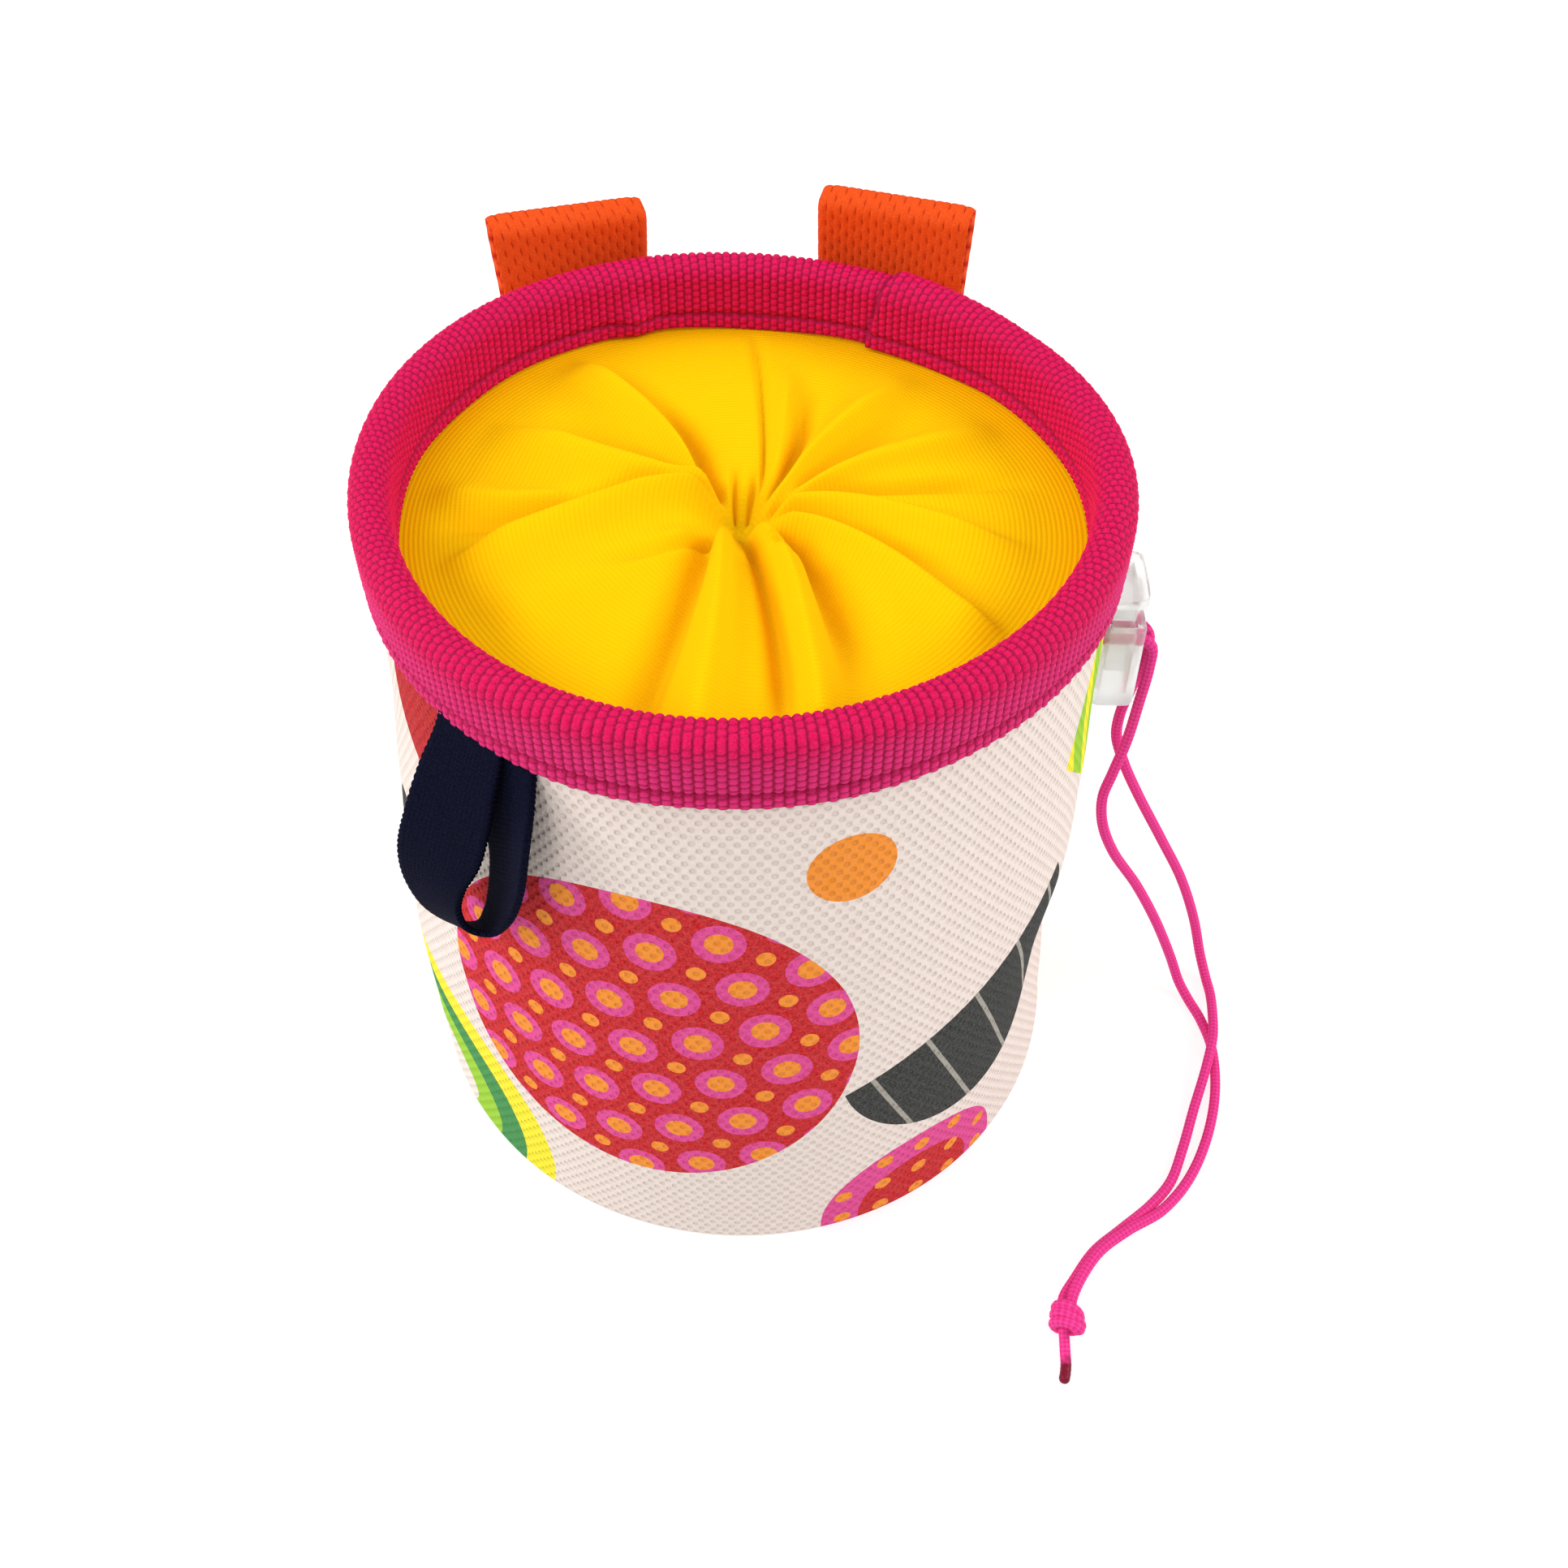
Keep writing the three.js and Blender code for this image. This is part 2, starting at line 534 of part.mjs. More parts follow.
// Brush loop: a band swept between its two edges
function brushLoopPoint([around, out, up]) {
  const outwardWay = polar(BRUSH_LOOP_AZIMUTH, 1, 0);
  const aroundWay = polar(BRUSH_LOOP_AZIMUTH + 90, 1, 0);
  return outwardWay.multiplyScalar(out).addScaledVector(aroundWay, around).setZ(up);
}

function brushLoop() {
  const right = new THREE.CatmullRomCurve3(BRUSH_LOOP_SECTIONS.map((row) => brushLoopPoint(row.right)));
  const left = new THREE.CatmullRomCurve3(BRUSH_LOOP_SECTIONS.map((row) => brushLoopPoint(row.left)));
  const rings = [];
  for (let i = 0; i <= BRUSH_LOOP_STEPS; i += 1) {
    const t = i / BRUSH_LOOP_STEPS;
    const a = right.getPoint(t);
    const b = left.getPoint(t);
    const way = right.getTangent(t).add(left.getTangent(t));
    const across = b.clone().sub(a);
    const face = way.cross(across).normalize().multiplyScalar(BRUSH_LOOP_THICKNESS / 2);
    rings.push([a.clone().add(face), b.clone().add(face), b.clone().sub(face), a.clone().sub(face)]);
  }
  return skin(rings, { ends: [middle(rings[0]), middle(rings.at(-1))] });
}

// Block with rounded upright corners
function roundedBlock({ thickness, width, height, corner }, bottom) {
  const x = thickness / 2 - corner;
  const y = width / 2 - corner;
  const outline = new THREE.Shape();
  outline.absarc(x, y, corner, 0, Math.PI / 2);
  outline.absarc(-x, y, corner, Math.PI / 2, Math.PI);
  outline.absarc(-x, -y, corner, Math.PI, Math.PI * 1.5);
  outline.absarc(x, -y, corner, Math.PI * 1.5, Math.PI * 2);
  const block = new THREE.ExtrudeGeometry(outline, { depth: height, bevelEnabled: false, curveSegments: 4 });
  block.translate(LOCK_CENTRE.x, LOCK_CENTRE.y, bottom);
  return block;
}

function plainBlock({ thickness, width }, bottom, top) {
  const block = new THREE.BoxGeometry(thickness, width, top - bottom);
  block.translate(LOCK_CENTRE.x, LOCK_CENTRE.y, (bottom + top) / 2);
  return block;
}

function lockSlot(highest) {
  return cordSlot(LOCK_CENTRE.x - LOCK_SLOT_REACH, LOCK_CENTRE.x + LOCK_SLOT_REACH, slotLow, highest);
}

function lockBarrel() {
  const top = LOCK_BOTTOM + LOCK_BARREL.height;
  const block = toSolid(roundedBlock(LOCK_BARREL, LOCK_BOTTOM));
  const pocket = toSolid(plainBlock(LOCK_POCKET, LOCK_POCKET.floor, top + 1));
  const slot = toSolid(lockSlot(slotHigh));
  return toGeometry(block.subtract(pocket).subtract(slot));
}

// The plunger's slot reaches up by its travel, so that the cord stays clear of it all the way down
function lockPlunger() {
  const stem = toSolid(plainBlock(LOCK_STEM, LOCK_STEM.bottom, LOCK_CAP.bottom + 1));
  const cap = toSolid(roundedBlock(LOCK_CAP, LOCK_CAP.bottom));
  const slot = toSolid(lockSlot(slotHigh + LOCK_TRAVEL));
  return toGeometry(stem.add(cap).subtract(slot));
}

// Drawcord
function cordTube(route, steps) {
  const section = new THREE.Shape();
  for (let i = 0; i < CORD_SIDES; i += 1) {
    const angle = ((i + 0.5) * 2 * Math.PI) / CORD_SIDES;
    const x = (CORD_DIAMETER / 2) * Math.cos(angle);
    const y = (CORD_DIAMETER / 2) * Math.sin(angle);
    if (i === 0) section.moveTo(x, y);
    else section.lineTo(x, y);
  }
  section.closePath();
  const extrudePath = new THREE.CatmullRomCurve3(route.map((point) => new THREE.Vector3(...point)));
  return new THREE.ExtrudeGeometry(section, { steps, extrudePath, bevelEnabled: false });
}

function insideRoute() {
  const [entry, exit] = [STRAND_1_ROUTE[0], STRAND_2_ROUTE[0]].map(([x, y, z]) => [x - GAP, y, z]);
  const ring = [];
  const { from, to, step } = INSIDE_RING_TURN;
  for (let azimuth = from; azimuth >= to; azimuth -= step) {
    ring.push(polar(azimuth, INSIDE_RING_RADIUS, GATHER_NECK_HEIGHT).toArray());
  }
  return [entry, ...INSIDE_WAY_IN, ...ring, ...INSIDE_WAY_BACK, exit];
}

function knot() {
  const heading = radians(KNOT_HEADING);
  const way = new THREE.Vector3(Math.cos(heading), Math.sin(heading), 0);
  const side = new THREE.Vector3(-way.y, way.x, 0);
  const rings = KNOT_SECTIONS.map(({ along, radius, height }) => {
    const centre = new THREE.Vector3(...KNOT_START, height).addScaledVector(way, along);
    const ring = [];
    for (let i = 0; i < KNOT_SIDES; i += 1) {
      const angle = (i * 2 * Math.PI) / KNOT_SIDES;
      const point = centre.clone().addScaledVector(side, radius * Math.cos(angle));
      point.z += radius * Math.sin(angle);
      ring.push(point);
    }
    return ring;
  });
  return skin(rings, { ends: [middle(rings[0]), middle(rings.at(-1))] });
}

function piece(name, finish, geometry) {
  geometry.computeVertexNormals();
  const mesh = new THREE.Mesh(geometry, new THREE.MeshStandardMaterial(MATERIALS[finish]));
  mesh.name = name;
  return mesh;
}

const bag = new THREE.Group();
bag.name = 'chalk_bag';

const shell = new THREE.Group();
shell.add(
  piece('body_wall', 'canvas', bodyWall()),
  piece('base_panel', 'canvas', basePanel()),
  piece('rim_binding', 'binding', rimBinding()),
  piece('collar', 'knit', collar()),
);

const loops = new THREE.Group();
for (const [name, placing] of Object.entries(BELT_LOOPS)) {
  loops.add(piece(name, 'webbing', beltLoop(placing)));
}
loops.add(piece('brush_loop', 'elastic', brushLoop()));

const closure = new THREE.Group();
closure.add(
  piece('cord_lock_barrel', 'plastic', lockBarrel()),
  piece('cord_lock_plunger', 'plastic', lockPlunger()),
  piece('drawcord_inside', 'cord', cordTube(insideRoute(), INSIDE_STEPS)),
  piece('drawcord_strand_1', 'cord', cordTube(STRAND_1_ROUTE, STRAND_STEPS)),
  piece('drawcord_strand_2', 'cord', cordTube(STRAND_2_ROUTE, STRAND_STEPS)),
  piece('drawcord_knot', 'cord', knot()),
);

bag.add(shell, loops, closure);

export default bag;
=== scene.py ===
# %% [markdown]
# # A chalk bag, dressed in cloth
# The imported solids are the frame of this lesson: every piece of cloth, cord and plastic below stands where
# its solid stands, in metres, with the bag's base centred on the origin and its front towards -Y. The
# tables are written in millimetres, as a maker would measure them, and are turned into metres at the end.

# %% Load the frame
import math
import bpy
import numpy as np
from mathutils import Matrix, Vector


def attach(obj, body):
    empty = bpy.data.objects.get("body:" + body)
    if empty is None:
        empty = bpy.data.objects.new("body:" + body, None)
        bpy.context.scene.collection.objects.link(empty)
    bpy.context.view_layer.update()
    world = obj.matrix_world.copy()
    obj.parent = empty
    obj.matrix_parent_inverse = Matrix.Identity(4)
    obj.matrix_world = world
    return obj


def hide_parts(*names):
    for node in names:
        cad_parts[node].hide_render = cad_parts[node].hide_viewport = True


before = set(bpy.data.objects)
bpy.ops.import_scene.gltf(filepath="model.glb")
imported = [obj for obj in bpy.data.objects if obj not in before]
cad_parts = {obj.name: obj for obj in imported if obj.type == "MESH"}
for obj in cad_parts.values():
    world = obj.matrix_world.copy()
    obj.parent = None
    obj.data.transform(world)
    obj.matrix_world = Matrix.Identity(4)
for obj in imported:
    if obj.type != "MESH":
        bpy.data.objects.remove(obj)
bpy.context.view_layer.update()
MM = 0.001

# %% [markdown]
# The camera stands close in front of the bag and looks down at it, so the mouth shows as a wide oval and the
# wall narrows towards the base. Its place and pitch come from the ovals of the rim and of the base.

# %% Camera
CAMERA_PLACE = (0.00733, -0.22055, 0.2991)
CAMERA_PITCH = 47.38
CAMERA_ROLL = 0.67
CAMERA_LENS = 41.93
bpy.ops.object.select_all(action="DESELECT")
bpy.ops.object.camera_add()
camera = bpy.context.object
camera.data.lens = CAMERA_LENS
pitch_turn = Matrix.Rotation(math.radians(90 - CAMERA_PITCH), 4, "X")
roll_turn = Matrix.Rotation(math.radians(CAMERA_ROLL), 4, "Z")
camera.matrix_world = Matrix.Translation(CAMERA_PLACE) @ pitch_turn @ roll_turn
bpy.context.scene.camera = camera
print("camera", [round(x, 4) for x in camera.location], "lens", camera.data.lens)

# %% [markdown]
# Every soft piece starts as the flat cut that a sewer would lay on the table: a grid whose UV map is the cut
# itself. Its points are then moved into place, so a weave painted on the UV map follows the cloth. These
# helpers add the flat cut, move its points, sew its edges together and give it a thickness.

# %% Helpers for cloth
SMALLEST_EDGE = 0.001


def select_only(piece):
    bpy.ops.object.select_all(action="DESELECT")
    piece.select_set(True)
    bpy.context.view_layer.objects.active = piece


def places_of(piece):
    """Where the piece's points are, one row for each."""
    points = np.empty(len(piece.data.vertices) * 3)
    piece.data.vertices.foreach_get("co", points)
    return points.reshape(-1, 3)


def flat_cut(name, columns, rows):
    """A flat grid, and where each of its points lies across and along the cut, from 0 to 1."""
    bpy.ops.object.select_all(action="DESELECT")
    bpy.ops.mesh.primitive_grid_add(x_subdivisions=columns, y_subdivisions=rows, size=1)
    piece = bpy.context.object
    piece.name = name
    points = places_of(piece) + 0.5
    return piece, points[:, 0], points[:, 1]


def lay(piece, x, y, z):
    """Moves the piece's points to these places, in millimetres."""
    points = np.stack([x, y, z], axis=1) * MM
    piece.data.vertices.foreach_set("co", points.astype(np.float32).ravel())
    piece.data.update()


def keep_value(piece, name, values):
    """Keeps one number for each point of the piece, for its material to read."""
    attribute = piece.data.attributes.new(name, "FLOAT", "POINT")
    attribute.data.foreach_set("value", np.asarray(values, np.float32))


def sew(piece, outward=None):
    """Merges edges that meet and turns the faces outwards. An open sheet needs that way given at a point."""
    select_only(piece)
    bpy.ops.object.mode_set(mode="EDIT")
    bpy.ops.mesh.select_all(action="SELECT")
    bpy.ops.mesh.remove_doubles(threshold=SMALLEST_EDGE * MM)
    bpy.ops.mesh.normals_make_consistent(inside=False)
    bpy.ops.object.mode_set(mode="OBJECT")
    if outward is None:
        return
    leaning = sum(face.area * face.normal.dot(outward(face.center)) for face in piece.data.polygons)
    if leaning < 0:
        bpy.ops.object.mode_set(mode="EDIT")
        bpy.ops.mesh.select_all(action="SELECT")
        bpy.ops.mesh.flip_normals()
        bpy.ops.object.mode_set(mode="OBJECT")


def thicken(piece, thickness, offset):
    """Gives a sheet its thickness in millimetres, to one side of it or evenly to both."""
    select_only(piece)
    bpy.ops.object.modifier_add(type="SOLIDIFY")
    modifier = piece.modifiers[-1]
    modifier.thickness = thickness * MM
    modifier.offset = offset
    modifier.use_even_offset = False
    bpy.ops.object.modifier_apply(modifier=modifier.name)


def dress(piece, material, body, slot, *nodes):
    """Shades the piece smoothly, gives it its material and puts it on its body, in place of its solids."""
    select_only(piece)
    bpy.ops.object.shade_smooth()
    piece.data.materials.clear()
    piece.data.materials.append(material)
    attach(piece, body)
    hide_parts(*nodes)
    print(piece.name, "faces:", len(piece.data.polygons))


def from_axis(place):
    """Way straight out from the bag's upright axis."""
    return Vector((place.x, place.y, 0))


def upwards(place):
    """Way straight up, the same at every place."""
    return Vector((0, 0, 1))


print("cloth helpers ready")

# %% [markdown]
# Curves are drawn as a few points and made smooth by a spline that passes through each of them. It is
# the spline that the solids use, so a cord here follows its solid.

# %% Helpers for curves and bumps
SHORTEST_GAP = 1e-6


def smooth_route(points, count):
    """count points along the smooth curve through the given ones."""
    rows = np.asarray(points, float)
    rows = np.vstack([2 * rows[0] - rows[1], rows, 2 * rows[-1] - rows[-2]])
    spans = len(rows) - 3
    at = np.linspace(0, spans, count)
    span = np.minimum(at.astype(int), spans - 1)
    t = (at - span)[:, None]
    a, b, c, d = (rows[span + i] for i in range(4))
    gap_1, gap_2, gap_3 = (
        np.maximum(np.linalg.norm(q - p, axis=1, keepdims=True) ** 0.5, SHORTEST_GAP)
        for p, q in ((a, b), (b, c), (c, d))
    )
    start = ((b - a) / gap_1 - (c - a) / (gap_1 + gap_2) + (c - b) / gap_2) * gap_2
    end = ((c - b) / gap_2 - (d - b) / (gap_2 + gap_3) + (d - c) / gap_3) * gap_2
    return (((2 * b - 2 * c + start + end) * t - 3 * b + 3 * c - 2 * start - end) * t + start) * t + b


def length_along(line):
    """How far along the line each of its points is."""
    steps = np.linalg.norm(np.diff(line, axis=0), axis=1)
    return np.concatenate([[0], np.cumsum(steps)])


def evenly(line, count):
    """The same line with count points at even distances."""
    along = length_along(line)
    at = np.linspace(0, along[-1], count)
    return np.stack([np.interp(at, along, line[:, k]) for k in range(line.shape[1])], axis=1)


def ways_along(line):
    """The way ahead at each point of a line, one long."""
    ahead = np.gradient(line, axis=0)
    return ahead / np.linalg.norm(ahead, axis=1, keepdims=True)


def smoothstep(value, low, high):
    """A soft rise from 0 at the low value to 1 at the high one."""
    t = np.clip((value - low) / (high - low), 0, 1)
    return t * t * (3 - 2 * t)


def bump(distance):
    """A soft hill, 1 high in its middle."""
    return np.exp(-distance * distance)


def turn_between(start, end):
    """Shortest signed turn from one azimuth to another, in degrees."""
    return (end - start + 540) % 360 - 180


print("curve helpers ready")

# %% [markdown]
# A material is a small tree of nodes. The class below shortens the calls: each method adds one node or two,
# takes sockets or plain numbers, and gives back the new output.

# %% Helpers for materials
# The sockets of a Mix node that mixes colours
MIX_SHARE = 0
MIX_FIRST = 6
MIX_SECOND = 7
MIX_RESULT = 2


def colour(red, green, blue):
    """A colour by its screen values from 0 to 255, as linear numbers."""
    return (*(((value / 255 + 0.055) / 1.055) ** 2.4 for value in (red, green, blue)), 1.0)


class Finish:
    """A material and short calls for its nodes."""

    def __init__(self, name, **sockets):
        self.material = bpy.data.materials.new(name)
        self.material.use_nodes = True
        self.tree = self.material.node_tree
        self.surface = self.tree.nodes["Principled BSDF"]
        for socket, value in sockets.items():
            self.surface.inputs[socket.replace("_", " ")].default_value = value

    def node(self, kind, *values, **settings):
        made = self.tree.nodes.new("ShaderNode" + kind)
        for setting, value in settings.items():
            setattr(made, setting, value)
        for socket, value in zip(made.inputs, values):
            self.put(socket, value)
        return made

    def put(self, socket, value):
        if isinstance(value, bpy.types.NodeSocket):
            self.tree.links.new(value, socket)
        else:
            socket.default_value = value

    def math(self, operation, *values):
        return self.node("Math", *values, operation=operation).outputs[0]

    def times(self, first, second):
        return self.math("MULTIPLY", first, second)

    def plus(self, first, second):
        return self.math("ADD", first, second)

    def mix(self, share, first, second, blend="MIX"):
        made = self.node("Mix", data_type="RGBA", blend_type=blend)
        self.put(made.inputs[MIX_SHARE], share)
        self.put(made.inputs[MIX_FIRST], first)
        self.put(made.inputs[MIX_SECOND], second)
        return made.outputs[MIX_RESULT]

    def scaled(self, value, from_low, from_high, to_low=0.0, to_high=1.0):
        return self.node("MapRange", value, from_low, from_high, to_low, to_high).outputs[0]

    def place(self):
        """Place on the piece, in metres."""
        return self.node("TexCoord").outputs["Object"]

    def noise(self, scale, detail=2.0):
        """Random grain from 0 to 1, finer as the scale grows."""
        made = self.node("TexNoise")
        self.put(made.inputs["Vector"], self.place())
        self.put(made.inputs["Scale"], scale)
        self.put(made.inputs["Detail"], detail)
        return made.outputs[0]

    def cut_place(self, width, length):
        """Place on the flat cut, across and along, for a cut of that width and length."""
        x, y, _ = self.node("SeparateXYZ", self.node("TexCoord").outputs["UV"]).outputs
        return self.times(x, width), self.times(y, length)

    def wave(self, place, pitch):
        """A cosine of that pitch."""
        return self.math("COSINE", self.times(place, 2 * math.pi / pitch))

    def kept(self, name):
        """A number that the piece keeps for each of its points."""
        return self.node("Attribute", attribute_name=name).outputs["Fac"]

    def relief(self, height, distance, strength=1.0):
        """Raises the surface by its shading alone, by a distance in millimetres."""
        made = self.node("Bump")
        self.put(made.inputs["Strength"], strength)
        self.put(made.inputs["Distance"], distance * MM)
        self.put(made.inputs["Height"], height)
        self.put(self.surface.inputs["Normal"], made.outputs[0])

    def paint(self, value):
        self.put(self.surface.inputs["Base Color"], value)

    def roughen(self, value):
        self.put(self.surface.inputs["Roughness"], value)


print("material helpers ready")

# %% [markdown]
# The drawcord is one braided cord, two millimetres thick. Both its ends leave the wall through one slot, pass
# through the cord lock, hang down beside the wall, cross on the table and meet in a knot. The picks of its
# braid are pink and the gaps between them get painted shade, a deeper pink. The material reads which is which
# from a number that the cord keeps for each of its points, so the colour follows the braid round every bend.

# %% Cord material
CORD_PINK = colour(245, 74, 158)
CORD_SHADE = colour(216, 38, 122)


def braid_colour(finish):
    """Pink on the picks of the braid, and painted shade, a deeper pink, between them."""
    return finish.mix(finish.scaled(finish.kept("pick"), 0.15, 0.85), CORD_SHADE, CORD_PINK)


braid = Finish("braided_cord", Roughness=0.7, Specular_IOR_Level=0.12)
braid.paint(braid_colour(braid))
braid.relief(braid.noise(5200.0), 0.08)
print("cord material made")

# %% [markdown]
# Each stretch of cord is a tube swept along its route, with the small picks of the braid raised on its
# surface. A bevelled curve would be quicker, but its surface would stay smooth. The rings of the tube are
# carried along the route without twist, and its two ends are rounded.

# %% Helpers for cord
CORD_DIAMETER = 2.0
CORD_SIDES = 24
CORD_STEP = 0.28
PICKS_AROUND = 4
PICK_LENGTH = 1.7
PICK_HEIGHT = 0.09
ROUTE_STEPS = 60
NEARLY_UP = (0.0, 0.3, 1.0)


def frames_along(line):
    """Two ways square to the line at each of its points, carried along without twist."""
    ahead = ways_along(line)
    side = np.empty_like(line)
    start = np.cross(ahead[0], NEARLY_UP)
    side[0] = start / np.linalg.norm(start)
    for i in range(1, len(line)):
        carried = side[i - 1] - ahead[i] * np.dot(side[i - 1], ahead[i])
        side[i] = carried / np.linalg.norm(carried)
    return side, np.cross(ahead, side)


def braided_tube(name, route):
    """A braided tube along a route in millimetres, with rounded ends, and the centres of its rings."""
    rough = smooth_route(route, ROUTE_STEPS * len(route))
    total = length_along(rough)[-1]
    line = evenly(rough, int(total / CORD_STEP) + 1)
    rings = len(line) - 1
    piece, around, along = flat_cut(name, CORD_SIDES, rings)
    ring = np.rint(along * rings).astype(int)
    side, over = frames_along(line)
    angle = around * 2 * math.pi
    travelled = ring * (total / rings)
    lean = travelled * 2 * math.pi / PICK_LENGTH
    pick = 0.5 + 0.5 * np.cos(PICKS_AROUND * angle + lean) * np.cos(PICKS_AROUND * angle - lean)
    half = CORD_DIAMETER / 2
    from_end = np.minimum(travelled, total - travelled) / half
    tip = np.sqrt(np.clip(1 - (1 - np.clip(from_end, 0, 1)) ** 2, 0, 1))
    radius = (half - PICK_HEIGHT * (1 - pick)) * tip
    places = line[ring] + radius[:, None] * (
        np.cos(angle)[:, None] * side[ring] + np.sin(angle)[:, None] * over[ring]
    )
    lay(piece, *places.T)
    keep_value(piece, "pick", pick)
    sew(piece)
    return piece, line


print("cord helpers ready")

# %% [markdown]
# The routes of the two free strands are written from the slot to the knot. They follow the solids' routes,
# and near the knot one strand climbs onto the other. Both end inside the knot, where no cut end shows.

# %% Free strands
STRAND_ROUTES = {
    "strand_front": [
        (54.8, 3.4, 92.5), (58, 3.4, 92.5), (62.6, 3.4, 92.5), (66.6, 3.4, 92.4), (68.4, 3.2, 90.8),
        (68.6, 2.7, 86.6), (67.9, 1.8, 79.4), (66.9, 0.7, 71), (65.4, 0, 63.2), (64.5, 0, 57), (65.4, 0, 50),
        (68.4, 0.2, 42), (74.4, 0.8, 31.5), (80, 1.2, 20), (84.6, 1.0, 9), (87.2, -0.6, 2.6),
        (88.8, -3.6, 1.1), (90.6, -8.6, 1.05), (91.8, -15.2, 1.05), (91, -25.2, 1.05), (87.9, -35.6, 1.05),
        (83, -44.9, 1.05), (77.3, -51.3, 1.3), (70.3, -56.1, 2.5), (64.7, -60.5, 2.8), (60.8, -65.8, 2.8),
        (58.8, -70, 2.8), (58.4, -72.6, 2.7),
    ],
    "strand_back": [
        (54.8, 8.6, 92.5), (58, 8.6, 92.5), (62.6, 8.2, 92.5), (66.6, 7.2, 92.4), (68.3, 6.5, 90.8),
        (68.4, 6.2, 86.4), (67.3, 6.1, 79), (66.2, 6.2, 72), (66.3, 6, 66.6), (68.2, 5.2, 61),
        (72, 5.4, 52.4), (78.6, 6, 39), (84.6, 6.8, 26.4), (89.4, 7, 13.4), (92, 5, 4.2), (93.1, 1.4, 1.3),
        (93.3, -2.6, 1.6), (92.7, -8.4, 2.8), (91.8, -14.2, 3.3), (89.6, -21, 2.7), (86.2, -29.6, 1.4),
        (83, -38, 1.05), (79.6, -45.4, 1.05), (75.4, -50.2, 1.05), (69.5, -55.1, 1.05), (64, -59.7, 1.05),
        (60, -65.1, 1.05), (57.5, -69.2, 1.5), (57.2, -72.2, 2.5),
    ],
}
strands = {}
for name, route in STRAND_ROUTES.items():
    strands[name] = braided_tube(name, route)
    print(name, "length in mm:", round(length_along(strands[name][1])[-1], 1))

# %% [markdown]
# Both strands end in one overhand knot. Its turns lie side by side round the strands, and a short tail leaves
# it with a melted, darkened end. The turns are one more braided tube, on a route that starts inside the knot,
# winds back round itself and comes out again. Its points are given along the knot, aside from it and up.

# %% Knot
KNOT_START = np.array([58.0, -70.7])
KNOT_HEADING = math.radians(263)
KNOT_TURNS = 2.7
KNOT_POINTS = 30
KNOT_COIL = {"from": 5.1, "to": 1.1, "radius": 2.15, "height": 3.25, "start": 0.5, "sway": 0.35}
KNOT_UNEVEN = {"share": 0.08, "rate": 2.3}
KNOT_IN = [(1.4, 0.5, 2.8), (2.4, 0.6, 3.3), (4.2, 0.7, 3.7)]
KNOT_TAIL = [
    (0.9, -0.9, 2.6), (2.6, -0.7, 2.9), (4.6, -0.5, 2.5), (6.4, -0.2, 1.5), (8.2, 0.0, 1.1),
    (10.4, 0.2, 1.05), (12.4, 0.1, 1.05), (13.9, -0.2, 1.1),
]
knot_way = np.array([math.cos(KNOT_HEADING), math.sin(KNOT_HEADING)])
knot_side = np.array([-knot_way[1], knot_way[0]])


def knot_coil(t):
    """A place on the knot's turns, from their start at 0 to their end at 1."""
    swing = 2 * math.pi * KNOT_TURNS * t + KNOT_COIL["start"]
    reach = KNOT_COIL["radius"] * (1 + KNOT_UNEVEN["share"] * math.sin(KNOT_UNEVEN["rate"] * swing))
    middle = KNOT_COIL["from"] + (KNOT_COIL["to"] - KNOT_COIL["from"]) * t
    along = middle + KNOT_COIL["sway"] * math.cos(swing)
    return along, reach * math.cos(swing), KNOT_COIL["height"] + reach * math.sin(swing)


def knot_place(along, aside, height):
    flat = KNOT_START + along * knot_way + aside * knot_side
    return flat[0], flat[1], height


knot_rows = KNOT_IN + [knot_coil(t) for t in np.linspace(0, 1, KNOT_POINTS)] + KNOT_TAIL
knot, _ = braided_tube("knot", [knot_place(*row) for row in knot_rows])
print("knot turns:", KNOT_TURNS)

# %% [markdown]
# The knot has the braid of the cord, with a darker and glossier end where the tail was melted. The place of
# that end is read from the UV map, which runs from 0 to 1 along the tube, and a noise makes its edge uneven.

# %% Knot material
MELTED_FROM = 0.915
MELTED_FULLY = 0.95
MELTED_RED = colour(122, 22, 48)
knot_braid = Finish("braided_cord_knot", Specular_IOR_Level=0.12)
_, knot_along = knot_braid.cut_place(1.0, 1.0)
scorch = knot_braid.noise(900.0)
melted = knot_braid.plus(knot_along, knot_braid.scaled(scorch, 0.3, 0.7, -0.02, 0.02))
melted = knot_braid.scaled(melted, MELTED_FROM, MELTED_FULLY)
knot_braid.paint(knot_braid.mix(melted, braid_colour(knot_braid), MELTED_RED))
knot_braid.roughen(knot_braid.scaled(melted, 0.0, 1.0, 0.62, 0.3))
knot_braid.relief(scorch, 0.1)
dress(knot, knot_braid.material, "bag", "cord", "drawcord_knot")

# %% [markdown]
# Each strand gets the braid's material and goes on the bag, in place of its solid.

for (name, (piece, line)), node in zip(strands.items(), ("drawcord_strand_1", "drawcord_strand_2")):
    dress(piece, braid.material, "bag", "cord", node)

# %% [markdown]
# Inside the closed bag, out of sight, the same cord runs from the slot to the gather, once round its neck and
# back again.

# %% Cord inside the bag
GATHER_NECK_HEIGHT = 106.5
NECK_RING = 5.0
inside_route = [(54.5, 3.4, 92.5), (48.5, 2.8, 92.9), (36, 0.5, 97), (20, -3.4, 102.5), (9, -5.4, 105.9)]
for azimuth in range(300, 30, -30):
    turn = math.radians(azimuth)
    inside_route.append((NECK_RING * math.cos(turn), NECK_RING * math.sin(turn), GATHER_NECK_HEIGHT))
inside_route += [(9, 6.4, 105.9), (20, 8, 102.5), (36, 9, 97), (48.5, 9.2, 92.9), (54.5, 8.6, 92.5)]
inside_cord, inside_line = braided_tube("cord_inside", inside_route)
dress(inside_cord, braid.material, "bag", "cord", "drawcord_inside")

